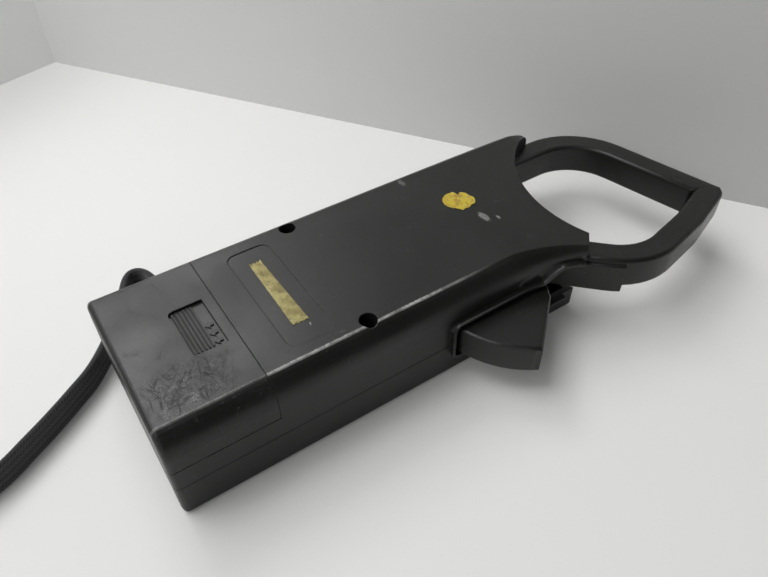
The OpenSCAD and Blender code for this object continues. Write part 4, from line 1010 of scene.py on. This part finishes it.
def make_dial_ticks():
    """One tick for each step of the dial, longer at every second one."""
    shapes = []
    for step in range(-10, 11):
        a = math.radians(STEP_ANGLE * step)
        out, along = Vector((math.sin(a), math.cos(a))), Vector((math.cos(a), -math.sin(a)))
        tip = LONG_TICK if step % 2 == 0 else SHORT_TICK
        corners = [out * r + along * side * TICK_HALF_WIDTH
                   for r, side in ((TICK_FOOT, -1), (tip, -1), (tip, 1), (TICK_FOOT, 1))]
        shapes.append(prism([(c.x, DIAL_Y + c.y) for c in corners], PRINT_Z - PRINT_HALF_THICK,
                            PRINT_Z + PRINT_HALF_THICK))
    add_marks("dial_ticks", "case", "ink", shapes)


def make_dial_numbers():
    """Plain numbers outside the ticks; the two steps beside the middle one have none."""
    numbers = []
    for value, step in zip(RANGES, [k for k in range(-9, 10) if abs(k) > 1]):
        a = math.radians(STEP_ANGLE * step)
        r = 26.9 if abs(step) in (2, 9) else 27.4
        x = r * math.sin(a) * (1.03 if abs(step) < 9 else 1.0)
        y = min(NUMBER_REACH, max(-NUMBER_REACH, r * math.cos(a)))
        bpy.ops.object.text_add(location=at(x, DIAL_Y + y, PRINT_Z), rotation=(0, math.pi, 0))
        label = bpy.context.object
        label.data.body = value
        label.data.size = NUMBER_SIZE * MM
        label.data.extrude = PRINT_HALF_THICK * MM
        label.data.align_x = "CENTER"
        label.data.align_y = "CENTER"
        bpy.ops.object.convert(target="MESH")
        numbers.append(bpy.context.object)
    bpy.ops.object.select_all(action="DESELECT")
    for label in numbers:
        label.select_set(True)
    bpy.context.view_layer.objects.active = numbers[0]
    bpy.ops.object.join()
    settle(numbers[0])
    dress(numbers[0], "dial_numbers", "case", "ink")


SOCKET_Y = 13.8
SOCKET_PITCH = 19.0


def make_socket_rings():
    for name, x, ink in (("socket_ring_left", -1, "ink_red"), ("socket_ring_middle", 0, "ink"),
                         ("socket_ring_right", 1, "ink_red")):
        add_marks(name, "case", ink,
                  [flat_ring(x * SOCKET_PITCH, SOCKET_Y, -0.03, 5.4, 6.1, 0.06)])


DIGITS = 4
DIGIT_PITCH, DIGIT_WIDTH, DIGIT_HEIGHT = 9.4, 5.6, 12.0
SEGMENT_WIDTH, SEGMENT_THICK, SEGMENT_GAP = 1.1, 0.03, 1.5


def make_segments():
    """Unlit segments that show faintly in the display."""
    low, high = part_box("display_glass")
    z = low.z / MM - 0.02
    middle = (low.y + high.y) / 2 / MM + DIAL_Y
    shapes = []
    for k in range(DIGITS):
        x = ((DIGITS - 1) / 2 - k) * DIGIT_PITCH
        for dy in (-1, 0, 1):
            shapes.append(flat_bar(x, middle + dy * DIGIT_HEIGHT / 2, z, DIGIT_WIDTH - SEGMENT_GAP,
                                   SEGMENT_WIDTH, SEGMENT_THICK))
        for dx in (-1, 1):
            for dy in (-0.5, 0.5):
                shapes.append(flat_bar(x + dx * DIGIT_WIDTH / 2, middle + dy * DIGIT_HEIGHT / 2, z,
                                       SEGMENT_WIDTH, DIGIT_HEIGHT / 2 - SEGMENT_GAP, SEGMENT_THICK))
    add_marks("display_segments", "case", "segment", shapes)


def make_pointer_line():
    add_marks("dial_pointer_line", "dial", "ink",
              [flat_bar(0, DIAL_Y + 14.5, 0.37, 0.9, 9.0, 0.05)])


make_jaw_spring()
make_foil()
make_sticker()
make_slide_arrows()
make_dial_ticks()
make_dial_numbers()
make_socket_rings()
make_segments()
make_pointer_line()


# ---------- Stage and light ----------

FLOOR_Z = -0.00015
FLOOR_SIZE = 4.0
WALL_HEIGHT = 0.15
BACK_WALL = ((-0.2942, -0.0452), (0.30, 0.3708))
LEFT_WALL = ((-0.2270, -0.2470), (-0.2942, -0.0452))
LIGHT_END_X, DIM_END_X = -0.26, 0.26


def stage_material(name, colour, lift, shaded_far_colour=None):
    """Plain pale surface, clear from behind and to the lamps; lift is a glow on top that the camera sees and
    that also shows in reflections as painted light. A shaded far colour darkens it towards +x as painted
    shade.
    """
    made, s, shader = start_material(name)
    paint = s.mix(s.noise(s.place(), 3.0, 2.0), colour, tuple(c * 0.985 for c in colour))
    if shaded_far_colour:
        # painted shade: the surface darkens towards +x
        paint = s.mix(s.range(s.axes(s.place())["X"], LIGHT_END_X, DIM_END_X), paint, shaded_far_colour)
    s.put(shader, "Base Color", paint)
    shader.inputs["Roughness"].default_value = 0.7
    shader.inputs["Emission Color"].default_value = rgb(1, 1, 0.99)
    rays = s.nodes.new("ShaderNodeLightPath").outputs
    seen = s.math("MAXIMUM", s.math("MAXIMUM", rays["Is Camera Ray"], rays["Is Glossy Ray"]),
                  rays["Is Transmission Ray"])
    s.put(shader, "Emission Strength", s.math("MULTIPLY", seen, lift))
    behind = s.nodes.new("ShaderNodeNewGeometry").outputs["Backfacing"]
    clear = s.nodes.new("ShaderNodeBsdfTransparent")
    both = s.nodes.new("ShaderNodeMixShader")
    s.put(both, "0", s.math("MAXIMUM", behind, rays["Is Shadow Ray"]))
    s.put(both, "1", shader.outputs["BSDF"])
    s.put(both, "2", clear.outputs["BSDF"])
    s.put(s.nodes["Material Output"], "Surface", both.outputs["Shader"])
    return made


def lay_floor(material):
    bpy.ops.mesh.primitive_plane_add(size=FLOOR_SIZE, location=(0, 0, FLOOR_Z))
    floor = bpy.context.object
    floor.name = "floor"
    settle(floor)
    floor.data.materials.append(material)


def wall(name, line, material):
    """Upright sheet over a line on the floor, its end points given in metres."""
    verts = [(x, y, z) for z in (FLOOR_Z, WALL_HEIGHT) for x, y in line]
    sheet = add_mesh(name, verts, [(0, 1, 3, 2)])
    sheet.data.materials.append(material)


# The left wall is paler and glows more than the back wall as painted light; the back wall darkens to the
# right as painted shade.
floor_paint = stage_material("floor_white", rgb(0.72, 0.715, 0.705), 0.05)
wall_paint = stage_material("wall_white", rgb(0.68, 0.68, 0.67), 0.06,
                            shaded_far_colour=rgb(0.33, 0.325, 0.32))
side_paint = stage_material("side_white", rgb(0.78, 0.78, 0.77), 0.12)
lay_floor(floor_paint)
wall("wall_back", BACK_WALL, wall_paint)
wall("wall_left", LEFT_WALL, side_paint)


def soft_light(name, place, target, width, height, power, colour=(1, 1, 1)):
    turn = (Vector(target) - Vector(place)).to_track_quat("-Z", "Y").to_euler()
    bpy.ops.object.light_add(type="AREA", location=place, rotation=turn)
    lamp = bpy.context.object
    lamp.name = name
    lamp.data.shape = "RECTANGLE"
    lamp.data.size = width
    lamp.data.size_y = height
    lamp.data.energy = power
    lamp.data.color = colour


soft_light("overhead_light", (-0.40, -0.50, 1.40), (0, 0, 0), 0.9, 0.9, 12.0)
soft_light("window_light", (-0.62, -0.02, 0.72), (0, -0.08, 0), 0.36, 0.36, 2.6)
soft_light("room_fill", (0.2, -1.1, 1.0), (0, 0.05, 0), 0.9, 0.9, 3.0)

DARK_SIDE = (0.66, 0.42, 0.62)


def room_world():
    """Even room light, with the dark side of the room to the right of the case."""
    world = bpy.data.worlds.new("room")
    scene.world = world
    world.use_nodes = True
    s = Shading(world.node_tree)
    around = s.nodes.new("ShaderNodeTexCoord").outputs["Generated"]
    facing = s.vector("DOT_PRODUCT", around, tuple(Vector(DARK_SIDE).normalized()), out="Value")
    backdrop = s.nodes["Background"]
    s.put(backdrop, "Color", rgb(0.92, 0.94, 0.93))
    s.put(backdrop, "Strength", s.range(facing, 0.35, 0.85, 0.48, 0.05))


room_world()
